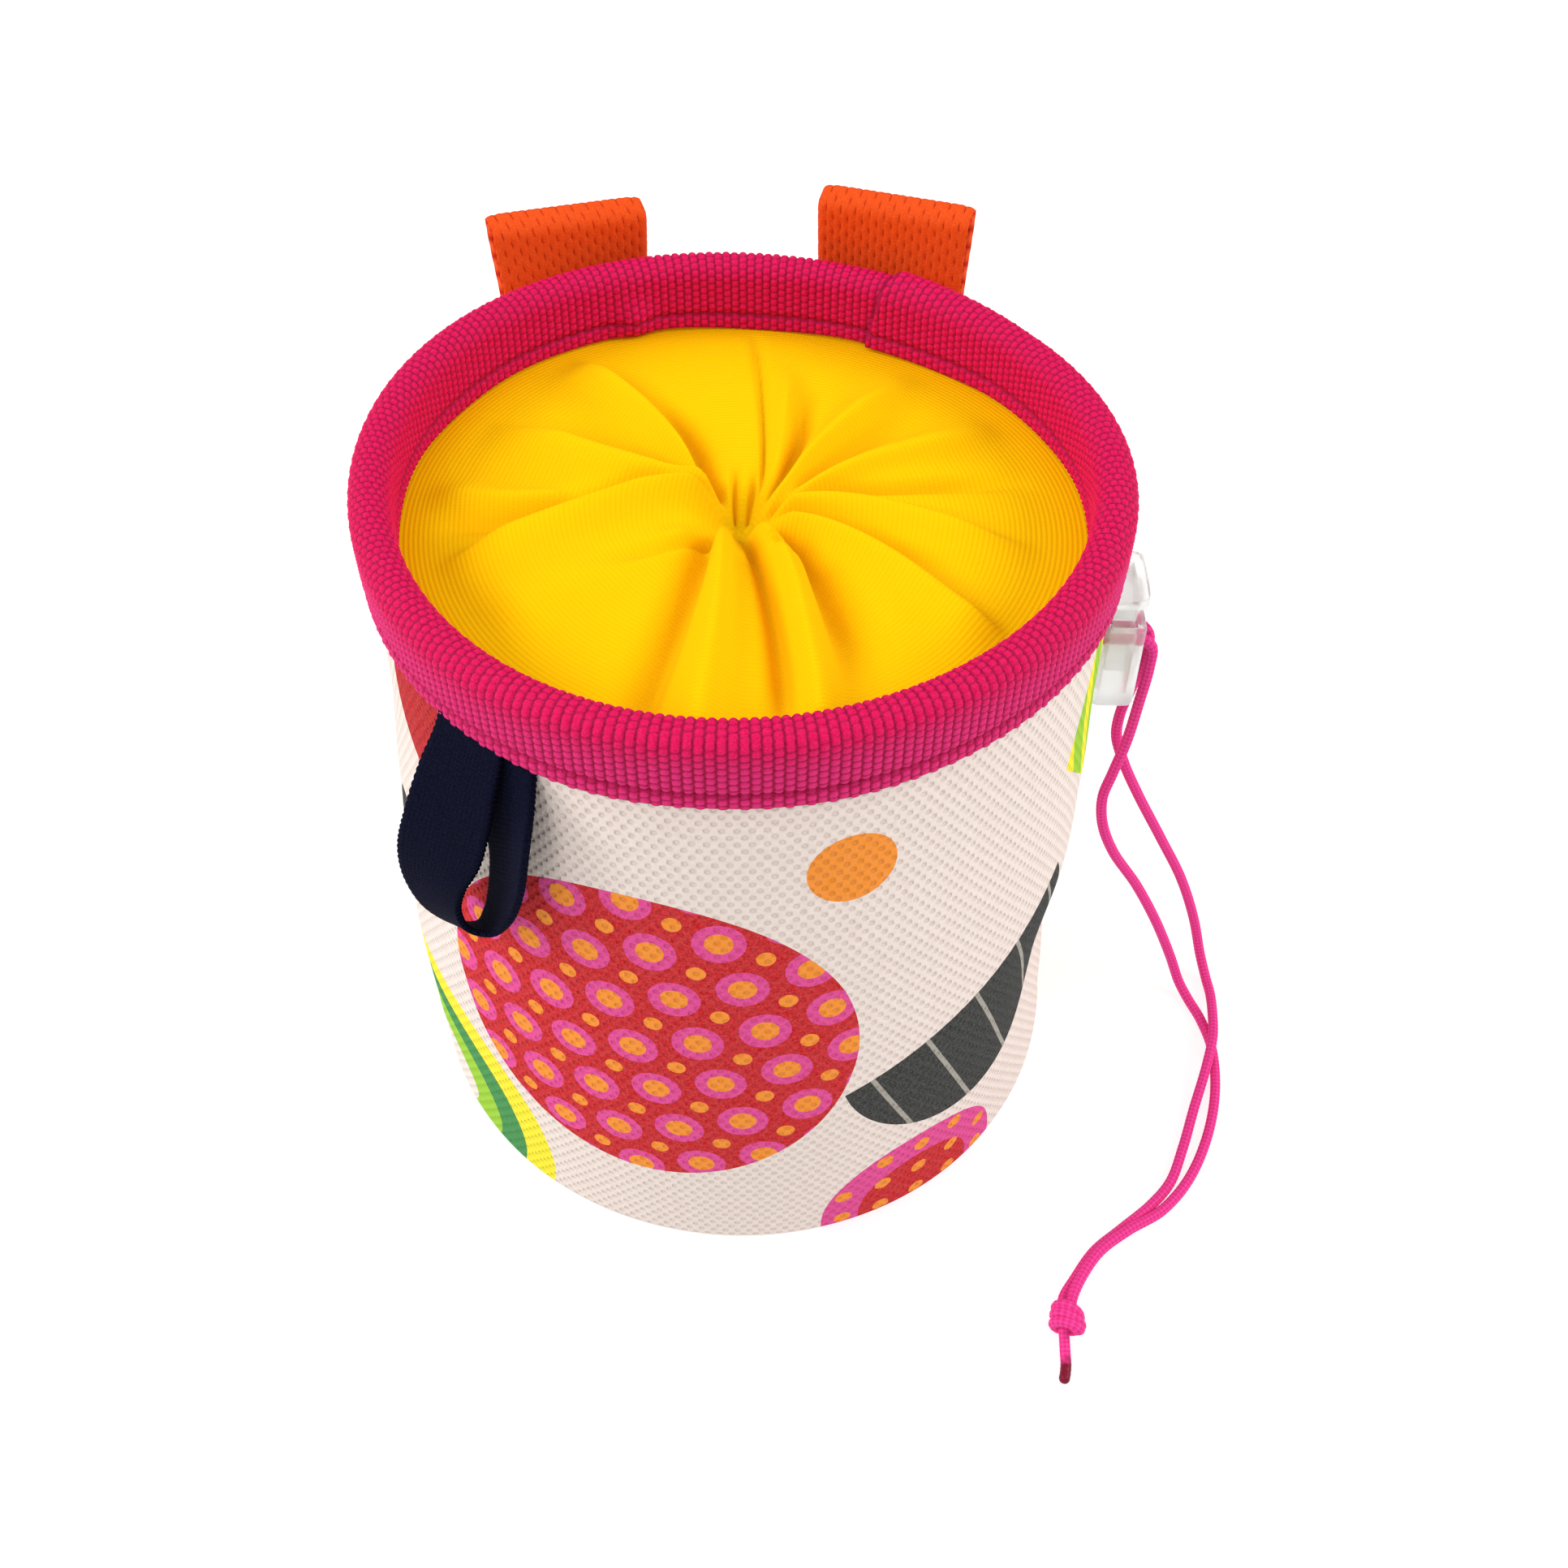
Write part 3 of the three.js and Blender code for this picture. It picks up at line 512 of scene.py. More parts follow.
# %% [markdown]
# The wall is stiff printed canvas sewn to a tube: nearly round at the base, a little uneven at the rim, with
# a soft dent on the cord's side. It is one flat cut, rolled round the bag with its seam at the back, turned
# under at the foot and given its thickness inwards.

# %% Canvas wall
RIM_RADIUS = 59.0
# Waves in the rim's outline: how many, their share of the radius and the azimuth of a peak
RIM_WAVES = [(2, 0.010, 135), (3, 0.014, 11)]
RIM_SHAPE_FROM = 60
RIM_SHAPE_FULLY = 112
WALL_THICKNESS = 1.5
WALL_TOP = 127.5
FOOT_RADIUS = 5.0
FOOT_HEIGHT = 5.3
# Height and radius
WALL_PROFILE = np.array([
    (5.3, 58.9), (20, 59.3), (38, 59.5), (56, 59.0), (76, 58.2), (98, 57.4), (114, 57.2), (127.5, 57.2),
])
# Dents and swells: azimuth, height, depth, half angle, half height
WALL_DENTS = [
    (-12, 38, -4.0, 26, 17), (-10, 14, -1.2, 30, 10), (188, 46, 0.9, 30, 30), (262, 70, 0.5, 35, 30),
    (238, 104, -0.35, 9, 9), (284, 100, -0.3, 12, 10), (310, 92, -0.4, 10, 16), (205, 88, -0.3, 9, 14),
]
WALL_COLUMNS = 300
WALL_ROWS = 108
SEAM_AZIMUTH = 90.0
CUT_WIDTH = 370.0
FOOT_ARC = FOOT_RADIUS * math.pi / 2
CUT_HEIGHT = FOOT_ARC + WALL_TOP - FOOT_HEIGHT


def rim_factor(azimuth):
    """Factor on a radius near the rim, for its slightly uneven outline."""
    return 1 + sum(share * np.cos(np.radians(waves * (azimuth - peak))) for waves, share, peak in RIM_WAVES)


def wall_radius(azimuth, height):
    """The wall's outer radius, with its dents and the shape of the rim."""
    row = np.clip(np.searchsorted(WALL_PROFILE[:, 0], height) - 1, 0, len(WALL_PROFILE) - 2)
    low, high = WALL_PROFILE[row], WALL_PROFILE[row + 1]
    radius = low[:, 1] + (high[:, 1] - low[:, 1]) * smoothstep(height, low[:, 0], high[:, 0])
    for centre, level, depth, half_angle, half_height in WALL_DENTS:
        away = turn_between(centre, azimuth) / half_angle
        radius = radius + depth * bump(away) * bump((height - level) / half_height)
    return radius * (1 + (rim_factor(azimuth) - 1) * smoothstep(height, RIM_SHAPE_FROM, RIM_SHAPE_FULLY))


wall, across, up = flat_cut("canvas_wall", WALL_COLUMNS, WALL_ROWS)
azimuth = SEAM_AZIMUTH + 360 * across
turn = np.radians(azimuth)
climbed = up * CUT_HEIGHT
height = np.maximum(FOOT_HEIGHT, FOOT_HEIGHT + climbed - FOOT_ARC)
foot_turn = np.clip(climbed / FOOT_ARC, 0, 1) * math.pi / 2
radius = wall_radius(azimuth, height) - FOOT_RADIUS * (1 - np.sin(foot_turn))
height = height - FOOT_RADIUS * np.cos(foot_turn)
lay(wall, radius * np.cos(turn), radius * np.sin(turn), height)
sew(wall, from_axis)
thicken(wall, WALL_THICKNESS, -1)
print("wall cut in mm:", CUT_WIDTH, "x", round(CUT_HEIGHT, 1))

# %% [markdown]
# The strands leave through one slot in the wall. It is cut with a block and a Boolean modifier, once the wall
# has its thickness, so the cut edge of the canvas shows.

# %% Slot for the cord
SLOT_CENTRE = (57.0, 6.0, 92.5)
SLOT_SIZE = (12.0, 8.6, 3.4)


def block(name, size, centre):
    """A block of that size about a centre, in millimetres."""
    bpy.ops.object.select_all(action="DESELECT")
    bpy.ops.mesh.primitive_cube_add(size=1, location=[x * MM for x in centre])
    made = bpy.context.object
    made.name = name
    made.scale = [x * MM for x in size]
    bpy.ops.object.transform_apply(location=True, rotation=True, scale=True)
    return made


def cut_away(piece, cutter):
    """Takes the cutter's shape out of the piece, and removes the cutter."""
    select_only(piece)
    bpy.ops.object.modifier_add(type="BOOLEAN")
    modifier = piece.modifiers[-1]
    modifier.operation = "DIFFERENCE"
    modifier.solver = "EXACT"
    modifier.object = cutter
    bpy.ops.object.modifier_apply(modifier=modifier.name)
    bpy.data.objects.remove(cutter)


cut_away(wall, block("slot_cutter", SLOT_SIZE, SLOT_CENTRE))
print("slot cut, wall faces:", len(wall.data.polygons))

# %% [markdown]
# The canvas is an off-white dobby weave with small dents in offset rows. They are far too many and too
# shallow to model, so the material makes them: one wave across the flat cut times one along it gives a
# lattice of dents.

# %% Canvas weave
DENTS_AROUND = 174
WEAVE_PITCH = CUT_WIDTH / DENTS_AROUND
WEAVE_ROW = 1.42
canvas = Finish("printed_canvas", Roughness=0.92, Specular_IOR_Level=0.06)
cut_x, cut_y = canvas.cut_place(CUT_WIDTH, CUT_HEIGHT)
row_wave = canvas.wave(cut_y, 2 * WEAVE_ROW)
thin_row = canvas.times(row_wave, canvas.math("ABSOLUTE", row_wave))
lattice = canvas.times(canvas.wave(cut_x, WEAVE_PITCH), thin_row)
dent = canvas.scaled(lattice, -0.05, 0.75)
cloth_grain = canvas.noise(2600.0, 3.0)
mottle = canvas.noise(900.0, 4.0)
print("canvas dents in mm:", round(WEAVE_PITCH, 2), "apart, rows", WEAVE_ROW, "apart")

# %% [markdown]
# The canvas is printed in large plain shapes, twice round the bag. Each shape is a mask, 1 inside it and 0
# outside, that comes from distances on the flat cut, so the print bends with the cloth. These helpers make
# the masks.

# %% Helpers for the print
PRINT_REPEAT = CUT_WIDTH / 2


def shape_axes(x, y, turn=0.0):
    """Place about a shape's centre on the cut, along its own two axes."""
    half = PRINT_REPEAT / 2
    across_shape = canvas.math("WRAP", canvas.math("SUBTRACT", cut_x, x), half, -half)
    up_shape = canvas.math("SUBTRACT", cut_y, y)
    place = canvas.node("CombineXYZ", across_shape, up_shape).outputs[0]
    turned = canvas.node("VectorRotate", rotation_type="Z_AXIS")
    canvas.put(turned.inputs["Vector"], place)
    canvas.put(turned.inputs["Angle"], math.radians(-turn))
    return turned.outputs[0]


def axis(place, which):
    return canvas.node("SeparateXYZ", place).outputs[which]


def disc(place, size):
    far = canvas.node("VectorMath", place, operation="LENGTH").outputs["Value"]
    return canvas.math("LESS_THAN", far, size)


def spots(place, pitch, size, shift=0.0):
    """Round spots on a square lattice."""
    near = [canvas.math("WRAP", canvas.plus(axis(place, i), shift), pitch / 2, -pitch / 2) for i in (0, 1)]
    return disc(canvas.node("CombineXYZ", *near).outputs[0], size)


def stripes(place, pitch, width):
    return canvas.math("LESS_THAN", canvas.math("WRAP", axis(place, 0), pitch, 0.0), width)


def lozenge(place, wide, tall):
    x = canvas.times(canvas.math("ABSOLUTE", axis(place, 0)), 1 / wide)
    y = canvas.times(canvas.math("ABSOLUTE", axis(place, 1)), 1 / tall)
    return canvas.math("LESS_THAN", canvas.plus(x, y), 1.0)


print("print helpers ready")

# %% [markdown]
# The print has spotted and plain discs, striped half discs, arcs and lozenges. Its rows are a mask and the
# colour that goes there, mixed one over the other from the bare ground up, as a printer lays one screen over
# another. Where two masks are multiplied, the colour goes where both are.

# %% Print
PRINT_COLOURS = {
    "ground": colour(236, 222, 213),
    "red": colour(198, 12, 24),
    "deep red": colour(184, 6, 18),
    "pink": colour(222, 66, 142),
    "orange": colour(242, 142, 34),
    "charcoal": colour(46, 49, 47),
    "pale grey": colour(160, 155, 145),
    "lime": colour(152, 202, 42),
    "yellow": colour(242, 228, 34),
    "green": colour(60, 142, 72),
}
GROUND_MOTTLE = colour(228, 212, 203)
spotted = shape_axes(-16, 63, 18)
striped = shape_axes(44, 56, 24)
arcs = shape_axes(-66, 14)
diamond = shape_axes(80, 98, 12)
target = shape_axes(34, 8)
large_disc = disc(spotted, 36)
half_disc = canvas.times(disc(striped, 27), canvas.math("LESS_THAN", axis(striped, 1), 4.0))
large_lozenge = lozenge(diamond, 16, 25)
low_disc = disc(target, 19)
PRINT_LAYERS = [
    (large_disc, "red"),
    (canvas.times(large_disc, spots(spotted, 11, 4.1)), "pink"),
    (canvas.times(large_disc, spots(spotted, 11, 2.2)), "orange"),
    (canvas.times(large_disc, spots(spotted, 11, 1.5, 5.5)), "orange"),
    (half_disc, "charcoal"),
    (canvas.times(half_disc, stripes(striped, 11, 0.9)), "pale grey"),
    (disc(arcs, 31), "yellow"),
    (disc(arcs, 24), "green"),
    (disc(arcs, 17), "lime"),
    (disc(arcs, 9), "ground"),
    (disc(shape_axes(-54, 110), 13), "deep red"),
    (large_lozenge, "lime"),
    (canvas.times(large_lozenge, stripes(diamond, 8, 3.2)), "yellow"),
    (low_disc, "pink"),
    (disc(target, 12), "red"),
    (canvas.times(low_disc, spots(target, 7.5, 1.6)), "orange"),
    (disc(shape_axes(18, 104), 7), "orange"),
    (disc(shape_axes(-72, 74), 6), "charcoal"),
]
printed = canvas.mix(canvas.scaled(mottle, 0.3, 0.7), GROUND_MOTTLE, PRINT_COLOURS["ground"])
for mask, name in PRINT_LAYERS:
    printed = canvas.mix(mask, printed, PRINT_COLOURS[name])
print("printed layers:", len(PRINT_LAYERS))

# %% [markdown]
# Over the print come the pale grain of the yarn, a little shade in each dent, and the relief of the weave.
# The wall then gets its material and goes on the bag, in place of its solid.

# %% Canvas finish
YARN_WHITE = colour(255, 250, 246)
DENT_SHADE = colour(224, 214, 208)
grained = canvas.mix(canvas.scaled(cloth_grain, 0.35, 0.7, 0.06, 0.0), printed, YARN_WHITE)
canvas.paint(canvas.mix(canvas.times(dent, 0.4), grained, DENT_SHADE, "MULTIPLY"))
canvas.relief(canvas.plus(canvas.times(dent, -1.0), canvas.times(cloth_grain, 0.25)), 0.3, 0.9)
dress(wall, canvas.material, "bag", "canvas", "body_wall")

# %% [markdown]
# The base is a round of the same canvas over a stiff board, set inside the foot of the wall. A cylinder is
# trimmed to the foot's outline and its rims are softened with a bevel.

# %% Base panel
BASE_SIDES = 144
BASE_THICKNESS = 2.0
BASE_GAP = 0.3
BASE_BEVEL = 0.5
BASE_SHARP_TURN = 30
BASE_DENT_SHADE = colour(205, 197, 192)


def round_edges(piece, width, sharp_turn):
    """Bevels the edges that turn by more than so many degrees, to a width in millimetres."""
    select_only(piece)
    bpy.ops.object.modifier_add(type="BEVEL")
    modifier = piece.modifiers[-1]
    modifier.width = width * MM
    modifier.segments = 3
    modifier.limit_method = "ANGLE"
    modifier.angle_limit = math.radians(sharp_turn)
    bpy.ops.object.modifier_apply(modifier=modifier.name)


bpy.ops.object.select_all(action="DESELECT")
bpy.ops.mesh.primitive_cylinder_add(vertices=BASE_SIDES, radius=1, depth=1, end_fill_type="TRIFAN")
base = bpy.context.object
base.name = "canvas_base"
x, y, z = places_of(base).T
azimuth = np.degrees(np.arctan2(y, x))
outline = wall_radius(azimuth, np.full(len(azimuth), FOOT_HEIGHT)) - FOOT_RADIUS - BASE_GAP
lay(base, x * outline, y * outline, (z + 0.5) * BASE_THICKNESS)
round_edges(base, BASE_BEVEL, BASE_SHARP_TURN)
plain_canvas = Finish("plain_canvas", Roughness=0.92, Specular_IOR_Level=0.06)
base_x, base_y, _ = plain_canvas.node("SeparateXYZ", plain_canvas.place()).outputs
base_row = plain_canvas.wave(base_y, 2 * WEAVE_ROW * MM)
base_lattice = plain_canvas.times(plain_canvas.wave(base_x, WEAVE_PITCH * MM), base_row)
base_dent = plain_canvas.scaled(base_lattice, 0.12, 0.85)
# Painted shade: the dents of the weave are painted a little darker.
plain_canvas.paint(plain_canvas.mix(base_dent, PRINT_COLOURS["ground"], BASE_DENT_SHADE))
plain_canvas.relief(plain_canvas.times(base_dent, -1.0), 0.32, 0.9)
dress(base, plain_canvas.material, "bag", "canvas", "base_panel")

# %% [markdown]
# The rim binding is heavy webbing folded over the canvas. Its section is drawn first, as points across the
# webbing: up the outer leg, over the round crown, down the inner leg, and back again underneath with a few
# points. Each point of the outer face also has the way out of the cloth, because the beads rise that way.

# %% Binding section
BAG_HEIGHT = 131.5
BINDING_WIDTH = 6.2
BINDING_OUTER_LEG = 13.2
BINDING_INNER_LEG = 12.1
BINDING_THICKNESS = 1.5
OUTER_LEG_INSET = 0.25
CROWN_POINTS = 40
CROWN_HOLLOW = 2.7
BEAD_ROWS = 23
POINTS_PER_BEAD = 4
HALF_BEAD = POINTS_PER_BEAD // 2
UNDER_POINTS = 4
face_points = BEAD_ROWS * POINTS_PER_BEAD
section_points = face_points + UNDER_POINTS
half_width = BINDING_WIDTH / 2
middle_radius = RIM_RADIUS - half_width
crown_turn = np.linspace(0, math.pi, CROWN_POINTS)
crown_radius = middle_radius + half_width * np.cos(crown_turn)
crown_height = BAG_HEIGHT - half_width + half_width * np.sin(crown_turn)
face_line = np.vstack([
    [(RIM_RADIUS - OUTER_LEG_INSET, BAG_HEIGHT - BINDING_OUTER_LEG)],
    np.stack([crown_radius, crown_height], axis=1),
    [(RIM_RADIUS - BINDING_WIDTH, BAG_HEIGHT - BINDING_INNER_LEG)],
])
face_length = length_along(face_line)[-1]
face = evenly(face_line, face_points)
inner_under = middle_radius - half_width + BINDING_THICKNESS
outer_under = middle_radius + half_width - BINDING_THICKNESS
under = np.array([
    (inner_under, BAG_HEIGHT - BINDING_INNER_LEG),
    (inner_under, BAG_HEIGHT - CROWN_HOLLOW),
    (outer_under, BAG_HEIGHT - CROWN_HOLLOW),
    (outer_under, BAG_HEIGHT - BINDING_OUTER_LEG),
])
section = np.vstack([face, under])
way_across = ways_along(face)
face_out = np.stack([way_across[:, 1], -way_across[:, 0]], axis=1)
section_out = np.vstack([face_out, np.zeros((UNDER_POINTS, 2))])
print("binding section", section_points, "points,", round(face_length, 1), "mm across")

# %% [markdown]
# The warp threads of the webbing float in short beads, in ribs across its width, each rib half a bead out of
# step with the next. The flat cut has four points for each bead. It is rolled twice, once round the section
# and once round the rim, and the beads are raised from it. A seam presses a groove near both edges, the
# beads run together on the front shoulder, the free end laps over the start at the back, and the inner leg
# puckers a little there. These helpers give the height of each.

# %% Helpers for the binding
BINDING_RIBS = 248
BEAD_HEIGHT = 0.42
BEAD_SUNK = 0.55
BEAD_SHARE = 0.78
SHOULDER = {"across": 12.4, "wide": 0.9, "azimuth": 268.0, "turn": 42.0, "smooth": 0.75}
JOINT_AZIMUTH = 62.6
JOINT_SLANT = 0.26
JOINT_STEP = 1.15
JOINT_FADE = 26.0
JOINT_RISE = 0.6
JOINT_LINE = 0.7
STITCH_INSET = 2.6
STITCH_WIDTH = 0.55
STITCH_DEPTH = 0.55
STITCH_SHADE = 0.8
EDGE_THIN = {"share": 0.35, "wide": 1.6}
# Waves along both edges: how many round the rim, their height and their start in degrees
EDGE_SWAY = [(7, 0.35, 0), (11, 0.3, 40)]
SWAY_SHARE = {"outer": 0.3, "inner": 0.55, "under": 0.09, "wide": 3.0}
PUCKER = {"azimuth": 111.0, "turn": 3.0, "across": 26.0, "wide": 3.4, "depth": 1.8}
LEG_HIGHLIGHT_FROM = 12.5
LEG_HIGHLIGHT_FULLY = 6.0
UNDER_SHADE = 0.2


def bead_relief(column, row):
    """Height from 0 to 1 of the ribs, and of the beads along them, every other rib out of step."""
    rib = np.sin(math.pi * (column % POINTS_PER_BEAD) / POINTS_PER_BEAD)
    step = (row + HALF_BEAD * ((column // POINTS_PER_BEAD) % 2)) % POINTS_PER_BEAD
    return rib, np.sin(math.pi * step / POINTS_PER_BEAD)


def joint_lift(past):
    """Extra thickness past the binding's free end, which lies over its start."""
    rising = np.clip(1 + past / JOINT_RISE, 0, 1)
    fading = np.clip(1 - past / JOINT_FADE, 0, 1)
    return JOINT_STEP * np.where(past < 0, rising, fading)


def spot_on_binding(spot, across_mm, azimuth):
    """1 at a spot of the binding, and less around it."""
    away = turn_between(spot["azimuth"], azimuth) / spot["turn"]
    return bump((across_mm - spot["across"]) / spot["wide"]) * bump(away)


print("binding helpers ready")

# %% [markdown]
# Now the flat cut is rolled up. Each of its points has a column along the rim and a row across the webbing,
# and from these come its bead, its groove and its place in the section.

# %% Rim binding
rim_points = BINDING_RIBS * POINTS_PER_BEAD
binding, along_rim, across_rim = flat_cut("rim_webbing", rim_points, section_points)
column = np.rint(along_rim * rim_points).astype(int) % rim_points
row = np.rint(across_rim * section_points).astype(int) % section_points
azimuth = column * 360.0 / rim_points
turn = np.radians(azimuth)
on_face = row < face_points
across_mm = np.where(on_face, row * face_length / (face_points - 1), 0.0)
from_edge = np.minimum(across_mm, face_length - across_mm)
inner_side = across_mm > face_length / 2

rib, bead = bead_relief(column, row)
shoulder = spot_on_binding(SHOULDER, across_mm, azimuth)
bead_share = BEAD_SHARE * (1 - SHOULDER["smooth"] * shoulder)
height_of_bead = np.where(on_face, rib**0.5 * (1 - bead_share + bead_share * bead**0.7), 0.0)
groove = np.where(on_face, bump((from_edge - STITCH_INSET) / STITCH_WIDTH), 0.0)
edge_thin = 1 - EDGE_THIN["share"] * bump(from_edge / EDGE_THIN["wide"])
joint = JOINT_AZIMUTH + JOINT_SLANT * np.clip(across_mm - face_length / 2, 0, None)
past_joint = turn_between(azimuth, joint)
raised = BEAD_HEIGHT * (height_of_bead * edge_thin - BEAD_SUNK) - STITCH_DEPTH * groove
raised = np.where(on_face, raised + joint_lift(past_joint), 0.0)

sway = sum(rise * np.sin(np.radians(azimuth * waves + start)) for waves, rise, start in EDGE_SWAY)
sway_share = np.where(inner_side, SWAY_SHARE["inner"], SWAY_SHARE["outer"])
sway_share = np.where(on_face, sway_share * bump(from_edge / SWAY_SHARE["wide"]), SWAY_SHARE["under"])
height = section[row, 1] + section_out[row, 1] * raised + sway_share * sway
pucker = PUCKER["depth"] * spot_on_binding(PUCKER, across_mm, azimuth)
radius = (section[row, 0] + section_out[row, 0] * raised - pucker) * rim_factor(azimuth)
lay(binding, radius * np.cos(turn), radius * np.sin(turn), height)
# Painted shade: the bead number is lowered in the gaps, in the stitched groove and in a painted shadow line
# at the step of the lapping end, so the material paints these places darker.
joint_shadow = bump((past_joint + JOINT_LINE) / JOINT_LINE)
bead_shade = height_of_bead * (1 - STITCH_SHADE * groove) * (1 - joint_shadow)
keep_value(binding, "bead", np.where(on_face, bead_shade, UNDER_SHADE))
# Painted highlight: the outer leg is marked so that the material paints it paler, for the sheen of its beads.
keep_value(binding, "leg_highlight", np.where(on_face, 1 - smoothstep(across_mm, LEG_HIGHLIGHT_FULLY, LEG_HIGHLIGHT_FROM), 0.0))
sew(binding)
print("binding ribs:", BINDING_RIBS, "with", BEAD_ROWS, "beads each")

# %% [markdown]
# The webbing is deep pink, with painted shade in the gaps between its beads and a painted highlight that
# makes the outer leg a little paler. Each point keeps its bead's height, lowered where shade is painted, and
# its place on the leg, so the colours follow the real beads.

# %% Binding material
BINDING_PINK = colour(218, 4, 83)
BINDING_GAP_SHADE = colour(156, 0, 60)
BINDING_LEG_HIGHLIGHT = colour(216, 40, 112)
BINDING_YARN = colour(246, 96, 150)
webbing_pink = Finish("pink_webbing", Roughness=0.6, Specular_IOR_Level=0.08)
yarn = webbing_pink.noise(3800.0, 3.0)
# Painted highlight: the outer leg is painted a paler pink.
tops = webbing_pink.mix(webbing_pink.kept("leg_highlight"), BINDING_PINK, BINDING_LEG_HIGHLIGHT)
# Painted shade: the gaps between the beads are painted a darker pink.
beads = webbing_pink.mix(webbing_pink.scaled(webbing_pink.kept("bead"), 0.1, 0.65), BINDING_GAP_SHADE, tops)
yarn_share = webbing_pink.scaled(yarn, 0.4, 0.75, 0.0, 0.16)
webbing_pink.paint(webbing_pink.mix(yarn_share, beads, BINDING_YARN))
webbing_pink.relief(yarn, 0.12)
dress(binding, webbing_pink.material, "bag", "binding", "rim_binding")

# %% [markdown]
# The collar is fine yellow knit, sewn in under the binding and drawn shut by the cord. Its folds run in to
# the gather, each on its own line: sharp beside the gather and soft at the rim. Cloth simulation would fold
# it somewhere else on each change, so the folds are sculpted from a table instead: the line of each fold from
# the gather outwards, its rise (a crease has a negative one), its width to the left and right of the line,
# and the share of the line after which it fades.

# %% Collar folds
COLLAR_FOLDS = [
    ([(2.4, 3.0), (3.4, 9), (3.6, 16), (2.9, 33), (1.6, 52)], -1.0, 0.9, 0.9, 0.97),
    ([(-0.7, 1.6), (-0.9, 6), (-0.8, 11), (-0.6, 16)], -1.6, 0.9, 0.9, 0.35),
    ([(1.0, 1.6), (2.0, 7), (2.6, 13)], -1.4, 0.8, 0.8, 0.4),
    ([(2.2, 2.0), (5.0, 9), (6.4, 18), (7.2, 30), (6.4, 44)], 1.5, 2.4, 2.0, 0.6),
    ([(3.4, 2.2), (6.6, 10), (8.6, 19), (9.4, 30), (12.5, 42)], -2.2, 1.6, 3.0, 0.5),
    ([(3.2, 1.4), (7.4, 8.6), (15.2, 21), (22.5, 31), (30.5, 41)], 2.6, 3.4, 3.0, 0.6),
    ([(4.2, 1.2), (9.4, 8.2), (18.4, 18.6), (30.5, 29)], -1.8, 2.0, 4.0, 0.55),
    ([(4.2, 0.8), (9.6, 6.2), (19.4, 12.4), (31.5, 18.4), (44, 26)], 2.4, 4.2, 3.2, 0.65),
    ([(3.6, 0.2), (9.0, 4.4), (15, 6.2), (24, 7.2), (36, 8.8), (48, 9.6)], -2.4, 2.4, 1.5, 0.6),
    ([(3.6, -0.4), (8.4, 2.6), (14, 2.9), (22, 1.2), (32, -2.6), (46, -8)], 2.6, 1.5, 5.0, 0.65),
    ([(4.6, -0.6), (9, 0.4), (14, -0.8), (19.5, -3.8), (26, -8.6), (36, -16)], -1.8, 2.2, 1.8, 0.6),
    ([(3.4, -0.8), (7.8, -1.4), (12.5, -3.3), (18, -6.8), (24, -12), (32, -20.5), (40, -28)],
     2.8, 1.6, 6.0, 0.8),
    ([(4.5, -2.4), (7.8, -5.4), (10.4, -9.4), (11.8, -14.6), (13.4, -21), (15.6, -29.6), (18.4, -40)],
     -3.8, 5.4, 1.6, 0.5),
    ([(0.7, -0.2), (3.4, -4.2), (6.2, -9.4), (8.4, -17.6), (10.0, -27.6), (11.4, -38), (12.4, -50)],
     3.8, 3.8, 2.9, 0.9),
    ([(0, -1.2), (0.8, -2.5), (2.4, -8.5), (4.0, -15.5), (6.0, -26.5), (7.4, -38), (8.2, -49)],
     -2.7, 2.2, 2.1, 0.7),
    ([(-1.9, 0), (-2.2, -2.5), (-2.4, -8.5), (-2.6, -18), (-3.2, -28.5), (-4.4, -42), (-5.0, -51)],
     3.5, 3.8, 4.0, 0.9),
    ([(-3.6, -0.8), (-4.0, -2.7), (-4.7, -8.5), (-6.6, -19), (-9.6, -32), (-12.6, -43), (-14.8, -50)],
     -2.8, 1.8, 5.0, 0.8),
    ([(-3.4, -3.2), (-8.6, -6.8), (-15, -10), (-23, -15)], -2.4, 2.2, 3.0, 0.4),
    ([(-4.5, -3.6), (-14, -9.5), (-28, -18), (-38, -25)], 1.8, 8.0, 7.0, 0.8),
    ([(-2.6, 1.0), (-8.4, 4.4), (-14.9, 4.6), (-20.6, 1.8), (-28, -2.6), (-36, -7.2), (-47, -14)],
     3.4, 7.0, 1.6, 0.7),
    ([(-9, 6.0), (-16, 6.4), (-23, 3.4), (-33, -0.4), (-42, -2.4), (-50, -3)], -2.4, 2.2, 3.2, 0.6),
    ([(-26, 4), (-36, 3.4), (-44, 4.8), (-52, 7)], 1.6, 4.0, 4.0, 0.6),
    ([(-2, 2), (-6.3, 6.0), (-11.8, 8.9), (-21.3, 13), (-32, 18.6), (-42, 23)], 3.0, 6.0, 1.8, 0.65),
    ([(-5.0, 6.6), (-12, 12), (-22, 18.6), (-33, 26)], -2.4, 2.0, 4.4, 0.6),
    ([(-3.5, 4), (-6.6, 8.8), (-10.4, 16.5), (-16.4, 26.4), (-24, 36), (-31, 43.5)], 3.2, 5.0, 1.5, 0.7),
    ([(-2.6, 4.2), (-5.2, 9.4), (-7.8, 17), (-12, 25), (-17.5, 33)], -2.4, 1.2, 3.0, 0.55),
]
POCKET = {"x": 6.5, "y": -8.2, "depth": 3.2, "wide": 1.5, "long": 1.2}
print("collar folds:", len(COLLAR_FOLDS))

# %% [markdown]
# A fold is highest on its line and falls off softly to both sides. For each point of the collar the nearest
# place on the line is found, step by step along it, and the folds and one small pocket are added together.

# %% Helpers for the folds
FOLD_STEPS = 28
FOLD_SMOOTHNESS = 40
FOLD_RISE = 1.05
FOLD_WIDTH_AT_GATHER = 0.35
FOLD_WIDENS = 0.75
FOLD_STARTS = (-0.02, 0.12)
FOLD_LOSES = 0.999


